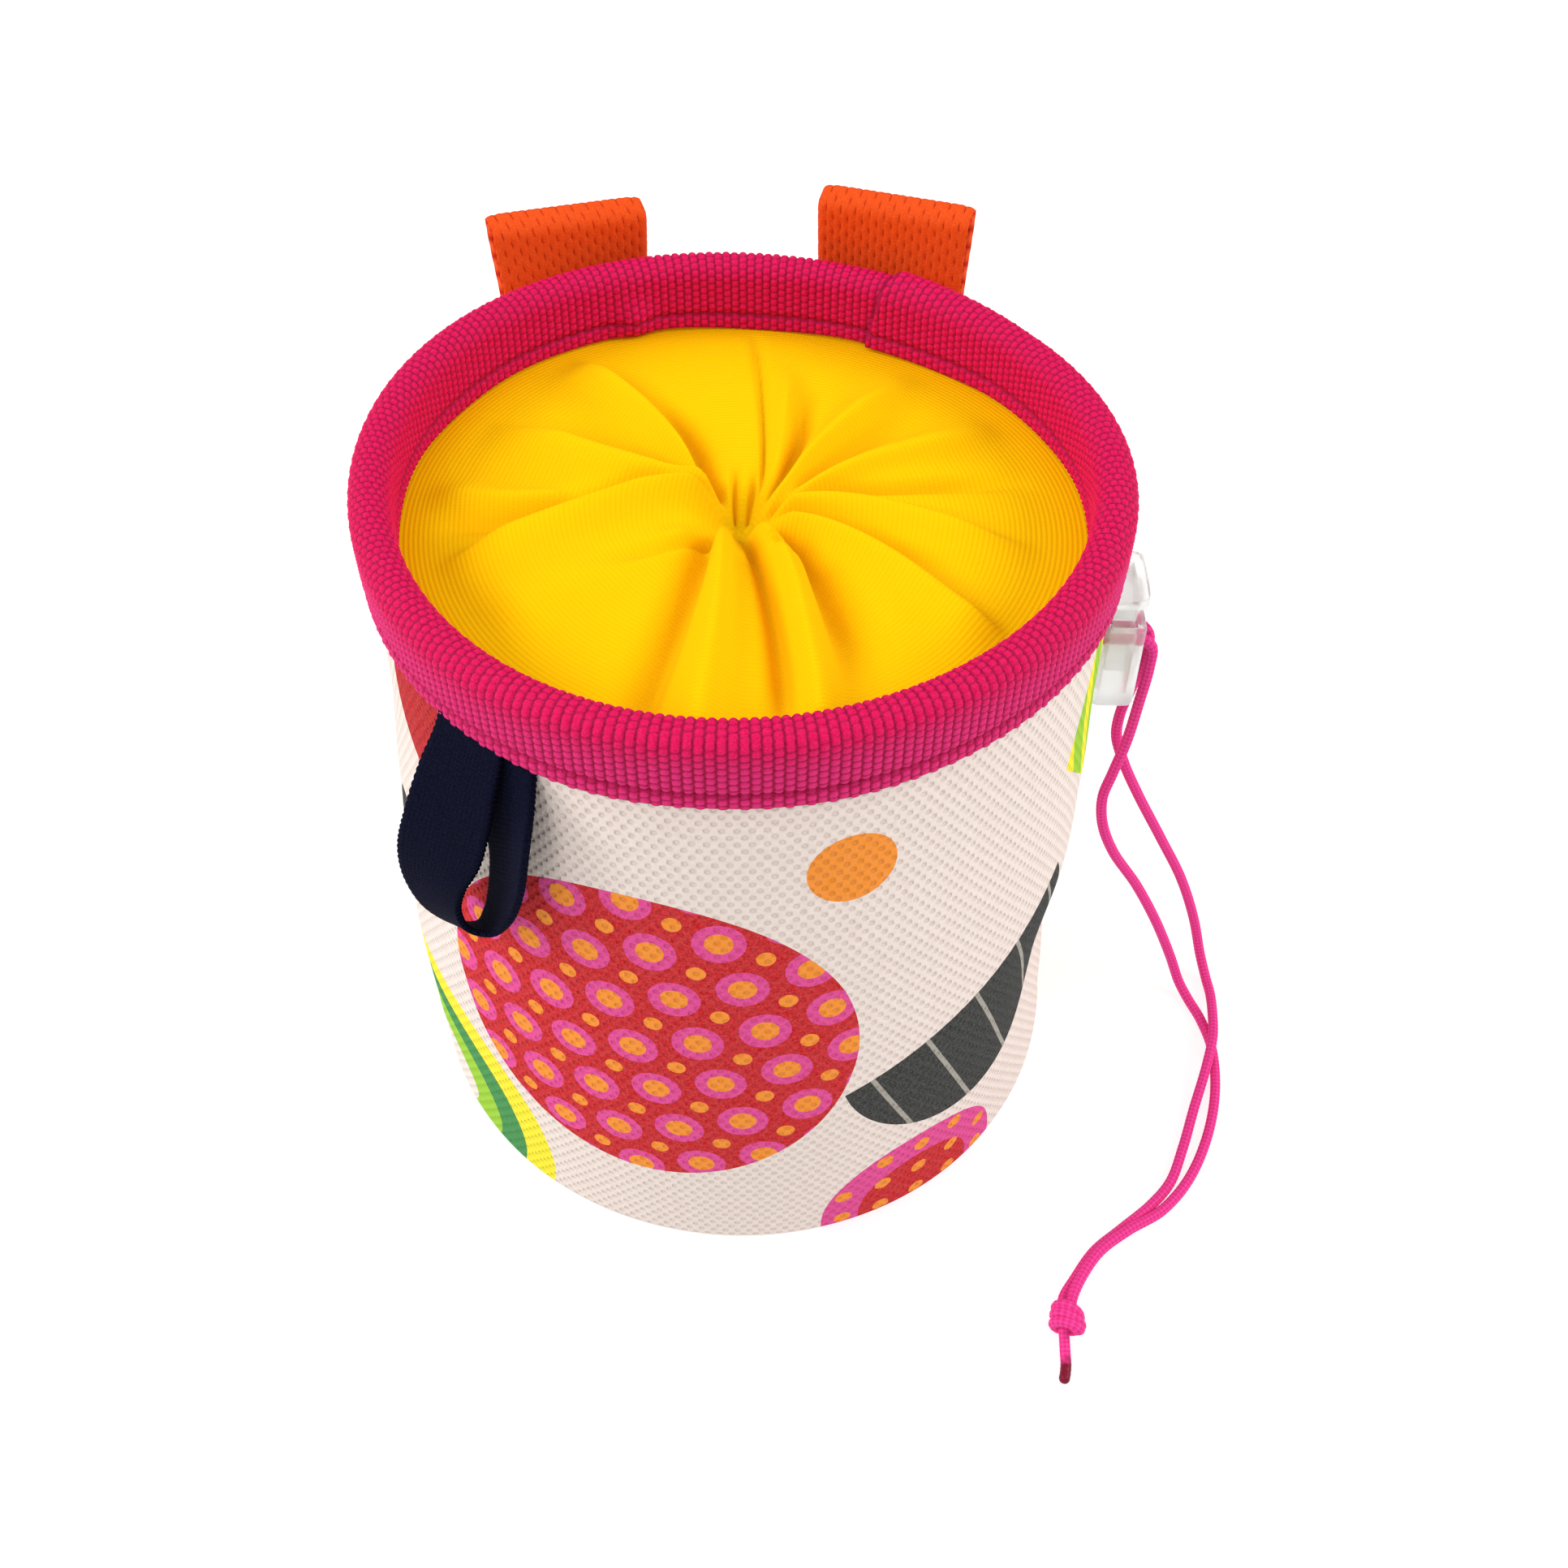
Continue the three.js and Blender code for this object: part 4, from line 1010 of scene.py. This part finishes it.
def beside_line(here, route):
    """How far each place is from the line, on which hand of it, and at what share of its length."""
    nearest = np.full(len(here), np.inf)
    signed = np.zeros(len(here))
    share = np.zeros(len(here))
    for k in range(FOLD_STEPS):
        way = route[k + 1] - route[k]
        away = here - route[k]
        t = np.clip(away @ way / (way @ way), 0, 1)
        off = away - t[:, None] * way
        far = np.hypot(off[:, 0], off[:, 1])
        closer = far < nearest
        nearest = np.where(closer, far, nearest)
        hand = np.sign(way[0] * away[:, 1] - way[1] * away[:, 0])
        signed = np.where(closer, far * hand, signed)
        share = np.where(closer, (k + t) / FOLD_STEPS, share)
    return nearest, signed, share


def fold_relief(x, y):
    """Height that the folds add to the collar at each place."""
    total = np.zeros_like(x)
    here = np.stack([x, y], axis=1)
    for line, rise, left, right, fade in COLLAR_FOLDS:
        route = evenly(smooth_route(line, FOLD_SMOOTHNESS * len(line)), FOLD_STEPS + 1)
        nearest, signed, share = beside_line(here, route)
        wide = np.where(signed > 0, left, right) * (FOLD_WIDTH_AT_GATHER + FOLD_WIDENS * share)
        shows = smoothstep(share, *FOLD_STARTS) * (1 - FOLD_LOSES * smoothstep(share, fade, 1.0))
        total += FOLD_RISE * rise * shows * bump(nearest / wide)
    dent_x = (x - POCKET["x"]) / POCKET["wide"]
    dent_y = (y - POCKET["y"]) / POCKET["long"]
    return total - POCKET["depth"] * bump(dent_x) * bump(dent_y)


print("fold helpers ready")

# %% [markdown]
# The collar's flat cut is laid as a disc that puffs up a little and sinks at the gather, with a flange that
# stands up behind the binding. The folds are added to its height. Each point also keeps how far it lies below
# the points to its left and right, so the material can paint shade into the creases.

# %% Knit collar
COLLAR_COLUMNS = 420
COLLAR_ROWS = 84
COLLAR_THICKNESS = 1.0
COLLAR_EDGE_RADIUS = 53.4
COLLAR_EDGE_HEIGHT = 118.8
COLLAR_FLANGE = 5.6
COLLAR_FLANGE_RADIUS = 54.7
COLLAR_ROUND_WITHIN = 20
COLLAR_PUFF = 1.6
COLLAR_PUFF_BIAS = 0.8
COLLAR_SINK = 3.0
COLLAR_SINK_RADIUS = 4.5
FOLDS_FADE_FROM = 45
FOLDS_FADE_TO = 53.2
CREASE_REACH = (-9, -5, 5, 9)
CREASE_DEPTH = 2.2
COLLAR_CUT = COLLAR_EDGE_RADIUS + COLLAR_FLANGE
collar, around, inwards = flat_cut("knit_collar", COLLAR_COLUMNS, COLLAR_ROWS)
azimuth = SEAM_AZIMUTH + 360 * around
turn = np.radians(azimuth)
from_top = inwards * COLLAR_CUT
radius = np.clip(COLLAR_CUT - from_top, 0, COLLAR_EDGE_RADIUS)
share = radius / COLLAR_EDGE_RADIUS
factor = 1 + (rim_factor(azimuth) - 1) * smoothstep(radius, COLLAR_ROUND_WITHIN, COLLAR_EDGE_RADIUS)
folds = fold_relief(radius * np.cos(turn), radius * np.sin(turn))
folds = folds * (1 - smoothstep(radius, FOLDS_FADE_FROM, FOLDS_FADE_TO))
height = COLLAR_EDGE_HEIGHT + COLLAR_PUFF * np.sin(math.pi * share**COLLAR_PUFF_BIAS) + folds
height = height - COLLAR_SINK * bump(radius / COLLAR_SINK_RADIUS)
height = height + np.clip(COLLAR_FLANGE - from_top, 0, COLLAR_FLANGE)
spread = np.where(from_top < COLLAR_FLANGE, COLLAR_FLANGE_RADIUS, radius) * factor
lay(collar, spread * np.cos(turn), spread * np.sin(turn), height)
# Painted shade: how far each point lies below its neighbours sets how much orange shade is painted there.
grid = height.reshape(COLLAR_ROWS + 1, COLLAR_COLUMNS + 1)[:, :-1]
beside = sum(np.roll(grid, steps, axis=1) for steps in CREASE_REACH) / len(CREASE_REACH)
hollow_shade = np.clip((beside - grid) / CREASE_DEPTH, 0, 1)
keep_value(collar, "crease_shade", np.concatenate([hollow_shade, hollow_shade[:, :1]], axis=1).ravel())
sew(collar, upwards)
thicken(collar, COLLAR_THICKNESS, -1)
print("collar from", round(float(height.min()), 1), "to", round(float(height.max()), 1), "mm high")

# %% [markdown]
# The knit shows as fine wales that run round the collar, with its stitches across them and a soft fuzz. All
# three are waves and a noise in the material, because a stitch is under a millimetre. The grooves between
# the wales and the creases of the folds get painted shade.

# %% Knit material
KNIT_YELLOW = colour(250, 198, 0)
KNIT_SHADE = colour(243, 182, 0)
KNIT_CREASE_SHADE = colour(236, 148, 0)
WALE_PITCH = 0.78
STITCHES_AROUND = 560
knit = Finish("yellow_knit", Roughness=0.9, Specular_IOR_Level=0.04)
knit_u, knit_v = knit.cut_place(STITCHES_AROUND, COLLAR_CUT)
wale = knit.wave(knit_v, WALE_PITCH)
stitch = knit.wave(knit_u, 1.0)
loops = knit.plus(wale, knit.times(stitch, 0.35))
loops = knit.plus(loops, knit.times(knit.noise(3000.0, 3.0), 1.2))
# Painted shade: the grooves between the wales are painted a little darker.
lined = knit.mix(knit.scaled(wale, -1.0, 0.4, 0.35, 0.0), KNIT_YELLOW, KNIT_SHADE)
# Painted shade: the creases are painted a deeper orange.
knit.paint(knit.mix(knit.scaled(knit.kept("crease_shade"), 0.0, 1.0, 0.0, 0.3), lined, KNIT_CREASE_SHADE))
knit.relief(loops, 0.022)
dress(collar, knit.material, "bag", "knit", "collar")

# %% [markdown]
# Below the gather the end of the collar stands out as a small pleated tuft, tied by the cord. It is out of
# sight inside the bag, so it stays plain.

# %% Tuft under the gather
# Radius and height, from the top down
TUFT_PROFILE = [
    (0.2, 111.0), (3.4, 110.2), (5.0, 109.4), (3.5, 107.6), (3.5, 105.4), (5.0, 103.4), (5.2, 99.4),
    (4.2, 99.2), (0.0, 100.6),
]
TUFT_SIDES = 132
TUFT_ROWS = 40
TUFT_SMOOTHNESS = 200
TUFT_PLEATS = 11
PLEAT_DEPTH = 0.05
tuft, around, along = flat_cut("knit_tuft", TUFT_SIDES, TUFT_ROWS)
profile = evenly(smooth_route(TUFT_PROFILE, TUFT_SMOOTHNESS), TUFT_ROWS + 1)
step = np.rint(along * TUFT_ROWS).astype(int)
turn = 2 * math.pi * around
pleat = 1 - PLEAT_DEPTH * (1 + np.cos(TUFT_PLEATS * turn))
radius = np.where((step == 0) | (step == TUFT_ROWS), 0.0, profile[step, 0] * pleat)
lay(tuft, radius * np.cos(turn), radius * np.sin(turn), profile[step, 1])
sew(tuft, from_axis)
dress(tuft, knit.material, "bag", "knit")

# %% [markdown]
# Two loops of coarse orange webbing are folded double and sewn to the back of the wall, so that a waist belt
# can pass through them. Each is a strip whose middle line is drawn from the side: up behind the binding, over
# the top and down again to its seam. Both are turned a little towards their top. The weave shows as short
# slits in offset columns, which are pressed into the strip before it gets its thickness.

# %% Belt loop shape
WEBBING_WIDTH = 25.0
WEBBING_THICKNESS = 1.35
WEBBING_COLUMNS = 80
WEBBING_ROWS = 128
WEBBING_EDGE_RISE = 0.35
WEBBING_EDGE_POWER = 14
SLIT_DEPTH = 0.42
SLIT_ACROSS = 1.0
SLIT_ALONG = 0.95
BELT_TWIST = {"from": 116, "to": 140, "pivot": 0.45}
BELT_SEWN = {"up to": 98, "free from": 116}
BELT_GAP = 0.3
BELT_SMOOTHNESS = 600
# Out from the bag's axis and up
BELT_LINE = [
    (58.8, 92.4), (58.7, 104), (60.85, 116.6), (61.05, 127), (61.0, 134.4), (61.05, 136.2), (61.6, 136.95),
    (62.6, 137.45), (63.6, 137.95), (64.25, 137.75), (64.35, 136.0), (63.6, 127), (63.3, 116.9),
    (61.6, 104.8), (60.7, 92.4),
]


def webbing_slits(column, row):
    """Depth from 0 to 1 of the slits between the yarns, in offset columns."""
    from_column = (column + HALF_BEAD) % POINTS_PER_BEAD - HALF_BEAD
    stagger = HALF_BEAD * (((column + HALF_BEAD) // POINTS_PER_BEAD) % 2)
    from_row = (row + stagger) % POINTS_PER_BEAD - HALF_BEAD
    return bump(from_column / SLIT_ACROSS) * bump(from_row / SLIT_ALONG)


def belt_webbing(name, azimuth, twist, lift):
    """One belt loop, and the length of its webbing in millimetres."""
    line = evenly(smooth_route(BELT_LINE, BELT_SMOOTHNESS), WEBBING_ROWS + 1)
    ahead = ways_along(line)
    piece, across, along = flat_cut(name, WEBBING_COLUMNS, WEBBING_ROWS)
    row = np.rint(along * WEBBING_ROWS).astype(int)
    column = np.rint(across * WEBBING_COLUMNS).astype(int)
    slit = webbing_slits(column, row)
    half = WEBBING_WIDTH / 2
    aside = (across - 0.5) * 2
    pressed = SLIT_DEPTH * slit + WEBBING_EDGE_RISE * np.abs(aside) ** WEBBING_EDGE_POWER
    sewn = 1 - smoothstep(line[row, 1], BELT_SEWN["up to"], BELT_SEWN["free from"])
    slope = math.sin(math.radians(twist)) * smoothstep(line[row, 1], BELT_TWIST["from"], BELT_TWIST["to"])
    out = line[row, 0] + ahead[row, 1] * pressed
    out = out - sewn * (aside * half) ** 2 / (2 * RIM_RADIUS)
    out = out + half * (aside * slope + BELT_TWIST["pivot"] * np.abs(slope))
    out = out + RIM_RADIUS * (rim_factor(azimuth) - 1) + BELT_GAP
    up = line[row, 1] - ahead[row, 0] * pressed + lift
    turn = math.radians(azimuth)
    x = out * math.cos(turn) - aside * half * math.sin(turn)
    y = out * math.sin(turn) + aside * half * math.cos(turn)
    lay(piece, x, y, up)
    keep_value(piece, "slit", slit)
    thicken(piece, WEBBING_THICKNESS, 0)
    return piece, length_along(line)[-1]


print("belt webbing ready,", WEBBING_WIDTH, "mm wide")

# %% [markdown]
# Both loops share one material: orange yarn with lighter fibres, and painted shade, a deeper red orange, down
# in the slits.
# The right-hand loop stands a little higher than the left one.

# %% Belt loops
BELT_LOOPS = {
    "belt_webbing_left": {"node": "belt_loop_left", "azimuth": 117.8, "twist": 13, "lift": 0.0},
    "belt_webbing_right": {"node": "belt_loop_right", "azimuth": 66.4, "twist": -8, "lift": 2.9},
}
WEBBING_ORANGE = colour(228, 74, 18)
WEBBING_YARN = colour(242, 106, 40)
WEBBING_SLIT_SHADE = colour(190, 36, 8)
webbing_orange = Finish("orange_webbing", Roughness=0.7, Specular_IOR_Level=0.1)
yarn = webbing_orange.noise(3600.0, 3.0)
tops = webbing_orange.mix(webbing_orange.scaled(yarn, 0.4, 0.75, 0.0, 0.5), WEBBING_ORANGE, WEBBING_YARN)
slit_shade_share = webbing_orange.scaled(webbing_orange.kept("slit"), 0.15, 0.9)
# Painted shade: the slits are painted a deeper red orange.
webbing_orange.paint(webbing_orange.mix(slit_shade_share, tops, WEBBING_SLIT_SHADE))
webbing_orange.relief(yarn, 0.12)
for name, loop_row in BELT_LOOPS.items():
    loop, loop_length = belt_webbing(name, loop_row["azimuth"], loop_row["twist"], loop_row["lift"])
    dress(loop, webbing_orange.material, "bag", "webbing", loop_row["node"])

# %% [markdown]
# The brush loop is a band of navy elastic that hangs under the binding and twists as it turns back up. It is
# a strip between its two edge lines, with the small scallops that a woven elastic has along its edges.

# %% Brush loop
BRUSH_AZIMUTH = math.radians(234)
BRUSH_THICKNESS = 1.0
BRUSH_COLUMNS = 20
BRUSH_ROWS = 440
SCALLOP_DEPTH = 0.22
SCALLOP_PITCH = 1.05
# Each row: the right edge and the left edge, as around the bag, out from its axis, and up
BRUSH_SECTIONS = [
    ((3.4, 57.3, 121.5), (-8.2, 56.5, 121.5)), ((3.6, 58.6, 117.0), (-8.6, 57.8, 117.0)),
    ((4.0, 61.3, 112.0), (-9.8, 61.2, 110.7)),
    ((3.6, 62.8, 106.5), (-10.2, 64.6, 105.0)), ((2.2, 64.7, 99.0), (-11.7, 66.5, 97.0)),
    ((0.2, 66.5, 94.0), (-12.3, 66.2, 88.2)), ((-0.6, 67.2, 89.6), (-10.8, 64.6, 80.6)),
    ((0.3, 66.7, 85.8), (-7.6, 61.8, 76.2)), ((3.2, 65.5, 85.6), (-5.2, 60.6, 76.8)),
    ((7.4, 64.9, 91.0), (-2.4, 60.3, 82.6)), ((9.7, 64.0, 98.0), (-0.6, 60.1, 89.7)),
    ((10.3, 62.2, 106.5), (0.2, 59.6, 98.6)), ((9.6, 59.4, 113.0), (-2.0, 58.8, 108.6)),
    ((8.6, 57.3, 117.4), (-4.0, 57.4, 116.0)), ((8.4, 56.8, 121.0), (-4.4, 57.0, 121.0)),
]
right_edge, left_edge = (smooth_route([row[i] for row in BRUSH_SECTIONS], BRUSH_ROWS + 1) for i in (0, 1))
brush_loop, across, along = flat_cut("elastic_brush_loop", BRUSH_COLUMNS, BRUSH_ROWS)
row = np.rint(along * BRUSH_ROWS).astype(int)
column = np.rint(across * BRUSH_COLUMNS).astype(int)
along_band = length_along((right_edge + left_edge) / 2)
brush_length = along_band[-1]
scallop = SCALLOP_DEPTH * np.abs(np.sin(math.pi * along_band / SCALLOP_PITCH))
width_of_band = np.linalg.norm(right_edge - left_edge, axis=1)
outermost = np.where(column % BRUSH_COLUMNS == 0, np.sign(across - 0.5), 0)
blend = across + outermost * scallop[row] / width_of_band[row]
aside, out, up = (left_edge[row] + (right_edge[row] - left_edge[row]) * blend[:, None]).T
x = out * math.cos(BRUSH_AZIMUTH) - aside * math.sin(BRUSH_AZIMUTH)
y = out * math.sin(BRUSH_AZIMUTH) + aside * math.cos(BRUSH_AZIMUTH)
lay(brush_loop, x, y, up)
thicken(brush_loop, BRUSH_THICKNESS, 0)
print("brush loop length in mm:", round(brush_length, 1))

# %% [markdown]
# The elastic is matt navy with paler lint, and has fine ribs across it and threads along it. They are finer
# than the scallops of its edge, so they are waves in the material.

# %% Elastic material
ELASTIC_NAVY = colour(7, 8, 24)
ELASTIC_LINT = colour(20, 22, 46)
ELASTIC_WIDTH = 13.5
ELASTIC_RIB = 0.62
ELASTIC_THREAD = 0.75
elastic = Finish("navy_elastic", Roughness=0.95, Specular_IOR_Level=0.05)
band_x, band_y = elastic.cut_place(ELASTIC_WIDTH, brush_length)
ribs = elastic.times(elastic.wave(band_y, ELASTIC_RIB), 0.5)
threads = elastic.times(elastic.wave(band_x, ELASTIC_THREAD), 0.3)
lint = elastic.scaled(elastic.noise(4200.0, 3.0), 0.4, 0.72)
elastic.paint(elastic.mix(lint, ELASTIC_NAVY, ELASTIC_LINT))
elastic.relief(elastic.plus(ribs, threads), 0.06)
dress(brush_loop, elastic.material, "bag", "elastic", "brush_loop")

# %% [markdown]
# The cord lock is clear moulded plastic: a barrel with a pocket from above and one slot through it, and a
# sprung plunger with a T-shaped head. Both are modelled as by hand, from a block: its upright edges are
# bevelled, one face is inset and pushed in or pulled out, and the slot is cut away. These helpers do the
# steps that both share.

# %% Helpers for the cord lock
LOCK_X = 62.6
LOCK_Y = 6.0
LOCK_SLOT = {"length": 14, "width": 8.6, "low": 90.8, "high": 94.2}
LOCK_SHARP_TURN = 40
CORNER_STEPS = 6


def pick_faces(piece, wanted):
    """In edit mode, selects the faces that the test picks by their normal."""
    bpy.ops.mesh.select_all(action="DESELECT")
    bpy.ops.object.mode_set(mode="OBJECT")
    for face in piece.data.polygons:
        face.select = wanted(face.normal)
    bpy.ops.object.mode_set(mode="EDIT")


def round_uprights(piece, corner):
    """Bevels the four upright edges of a block, and stays in edit mode."""
    select_only(piece)
    bpy.ops.object.mode_set(mode="EDIT")
    bpy.ops.mesh.select_mode(type="EDGE")
    bpy.ops.mesh.select_all(action="DESELECT")
    bpy.ops.object.mode_set(mode="OBJECT")
    for edge in piece.data.edges:
        first, second = (piece.data.vertices[i].co for i in edge.vertices)
        edge.select = abs(first.z - second.z) > MM
    bpy.ops.object.mode_set(mode="EDIT")
    bpy.ops.mesh.bevel(offset=corner * MM, segments=CORNER_STEPS, affect="EDGES")
    bpy.ops.mesh.select_mode(type="FACE")


def push_down(depth):
    """In edit mode, extrudes the selected face downwards."""
    bpy.ops.mesh.extrude_region_move(TRANSFORM_OT_translate={"value": (0, 0, -depth * MM)})


def soften(piece, softness):
    """Rounds the moulded edges a little, and merges points that then lie on each other."""
    round_edges(piece, softness, LOCK_SHARP_TURN)
    bpy.ops.object.mode_set(mode="EDIT")
    bpy.ops.mesh.select_all(action="SELECT")
    bpy.ops.mesh.remove_doubles(threshold=SMALLEST_EDGE * MM)
    bpy.ops.object.mode_set(mode="OBJECT")


def lock_block(name, size, bottom):
    return block(name, size, (LOCK_X, LOCK_Y, bottom + size[2] / 2))


def slot_block(high):
    """A cutter for the slot, up to that height."""
    low = LOCK_SLOT["low"]
    size = (LOCK_SLOT["length"], LOCK_SLOT["width"], high - low)
    return block("slot_cutter", size, (LOCK_X, LOCK_Y, (low + high) / 2))


print("cord lock helpers ready")

# %% [markdown]
# The barrel's top face is inset and pushed down to make its pocket. The plunger's cap starts as a block too,
# and its stem is pulled down out of the bottom face. The cap droops a little at both ends, so it is cut into
# strips first. The plunger's slot is longer than the barrel's by the plunger's travel, so that the cords stay
# clear of it when it is pressed.

# %% Cord lock
BARREL = {"size": (7.4, 14.0, 16.5), "bottom": 81.0, "corner": 1.6, "wall": 1.5, "pocket": 14.5}
CAP = {"size": (6.8, 12.6, 2.0), "bottom": 102.6, "corner": 1.8, "inset": 1.5, "stem": 15.2}
CAP_DROOP = 0.7
CAP_UNDERSIDE = 0.5
CAP_STRIPS = (-4.0, -2.0, 2.0, 4.0)
PLUNGER_TRAVEL = 4.0
BARREL_SOFTNESS = 0.28
PLUNGER_SOFTNESS = 0.15
FLAT_FACE = 0.9
barrel = lock_block("lock_barrel", BARREL["size"], BARREL["bottom"])
round_uprights(barrel, BARREL["corner"])
pick_faces(barrel, lambda normal: normal.z > FLAT_FACE)
bpy.ops.mesh.inset(thickness=BARREL["wall"] * MM)
push_down(BARREL["pocket"])
bpy.ops.object.mode_set(mode="OBJECT")
cut_away(barrel, slot_block(LOCK_SLOT["high"]))
soften(barrel, BARREL_SOFTNESS)

plunger = lock_block("lock_plunger", CAP["size"], CAP["bottom"])
round_uprights(plunger, CAP["corner"])
pick_faces(plunger, lambda normal: normal.z < -FLAT_FACE)
bpy.ops.mesh.inset(thickness=CAP["inset"] * MM)
push_down(CAP["stem"])
for y in CAP_STRIPS:
    bpy.ops.mesh.select_all(action="SELECT")
    bpy.ops.mesh.bisect(plane_co=(LOCK_X * MM, (LOCK_Y + y) * MM, 0), plane_no=(0, 1, 0))
bpy.ops.object.mode_set(mode="OBJECT")
for vertex in plunger.data.vertices:
    if vertex.co.z > (CAP["bottom"] - CAP_UNDERSIDE) * MM:
        aside = (vertex.co.y / MM - LOCK_Y) / (CAP["size"][1] / 2)
        vertex.co.z -= CAP_DROOP * MM * aside * aside
cut_away(plunger, slot_block(LOCK_SLOT["high"] + PLUNGER_TRAVEL))
soften(plunger, PLUNGER_SOFTNESS)
print("cord lock faces:", len(barrel.data.polygons), "and", len(plunger.data.polygons))

# %% [markdown]
# The plastic is clear but frosted, so light passes through it and what lies behind is blurred. A low
# refraction and an uneven roughness give that. The barrel stays with the bag, and the plunger rides on its
# own body.

# %% Clear plastic
SMOOTH_WITHIN = math.radians(35)
plastic = Finish("clear_plastic", IOR=1.18, Transmission_Weight=0.87, Base_Color=(1.0, 1.0, 1.0, 1.0))
plastic.roughen(plastic.scaled(plastic.noise(1400.0, 3.0), 0.35, 0.7, 0.3, 0.38))
for piece, body, node in ((barrel, "bag", "cord_lock_barrel"), (plunger, "plunger", "cord_lock_plunger")):
    dress(piece, plastic.material, body, "clear_plastic", node)
    select_only(piece)
    bpy.ops.object.shade_smooth_by_angle(angle=SMOOTH_WITHIN)

# %% [markdown]
# The bag stands on a plain white table that glows a little, as in a light tent, so the table stays white and
# shadows are faint.

# %% Table
TABLE_SIZE = 20
TABLE_GLOW = 0.78
bpy.ops.object.select_all(action="DESELECT")
bpy.ops.mesh.primitive_plane_add(size=TABLE_SIZE)
floor = bpy.context.object
floor.name = "table"
table_white = Finish(
    "white_table",
    Roughness=1.0,
    Specular_IOR_Level=0.0,
    Base_Color=(0.3, 0.3, 0.3, 1.0),
    Emission_Color=(1.0, 1.0, 1.0, 1.0),
    Emission_Strength=TABLE_GLOW,
)
floor.data.materials.append(table_white.material)
print("table made")

# %% [markdown]
# Soft light comes from all round. Two lamps, to the left and the right, draw out the folds and the beads, and
# weaker ones above and in front soften their shadows. Each row gives a lamp's name, its place, what it points
# at, its size and its power.

# %% Light
TENT_LIGHT = 0.5
LIGHTS = [
    ("overhead", (-0.15, -0.1, 1.3), (0, 0, 0.1), 1.3, 3.0),
    ("left", (-1.2, 0.0, 0.85), (0, 0, 0.08), 0.8, 11.0),
    ("right", (1.2, 0.0, 0.85), (0, 0, 0.08), 0.8, 11.0),
    ("front_left", (-0.75, -1.1, 1.25), (0, 0, 0.08), 0.7, 5.5),
]
world = bpy.data.worlds.new("light_tent")
bpy.context.scene.world = world
world.use_nodes = True
tent = world.node_tree.nodes["Background"]
tent.inputs["Color"].default_value = (1.0, 1.0, 1.0, 1.0)
tent.inputs["Strength"].default_value = TENT_LIGHT
for name, place, target, size, power in LIGHTS:
    bpy.ops.object.light_add(type="AREA", location=place)
    light = bpy.context.object
    light.name = name
    light.data.size = size
    light.data.energy = power
    aim = Vector(target) - light.location
    light.rotation_mode = "QUATERNION"
    light.rotation_quaternion = aim.to_track_quat("-Z", "Y")
bpy.context.scene.view_settings.view_transform = "Standard"
print("lights:", [row[0] for row in LIGHTS])
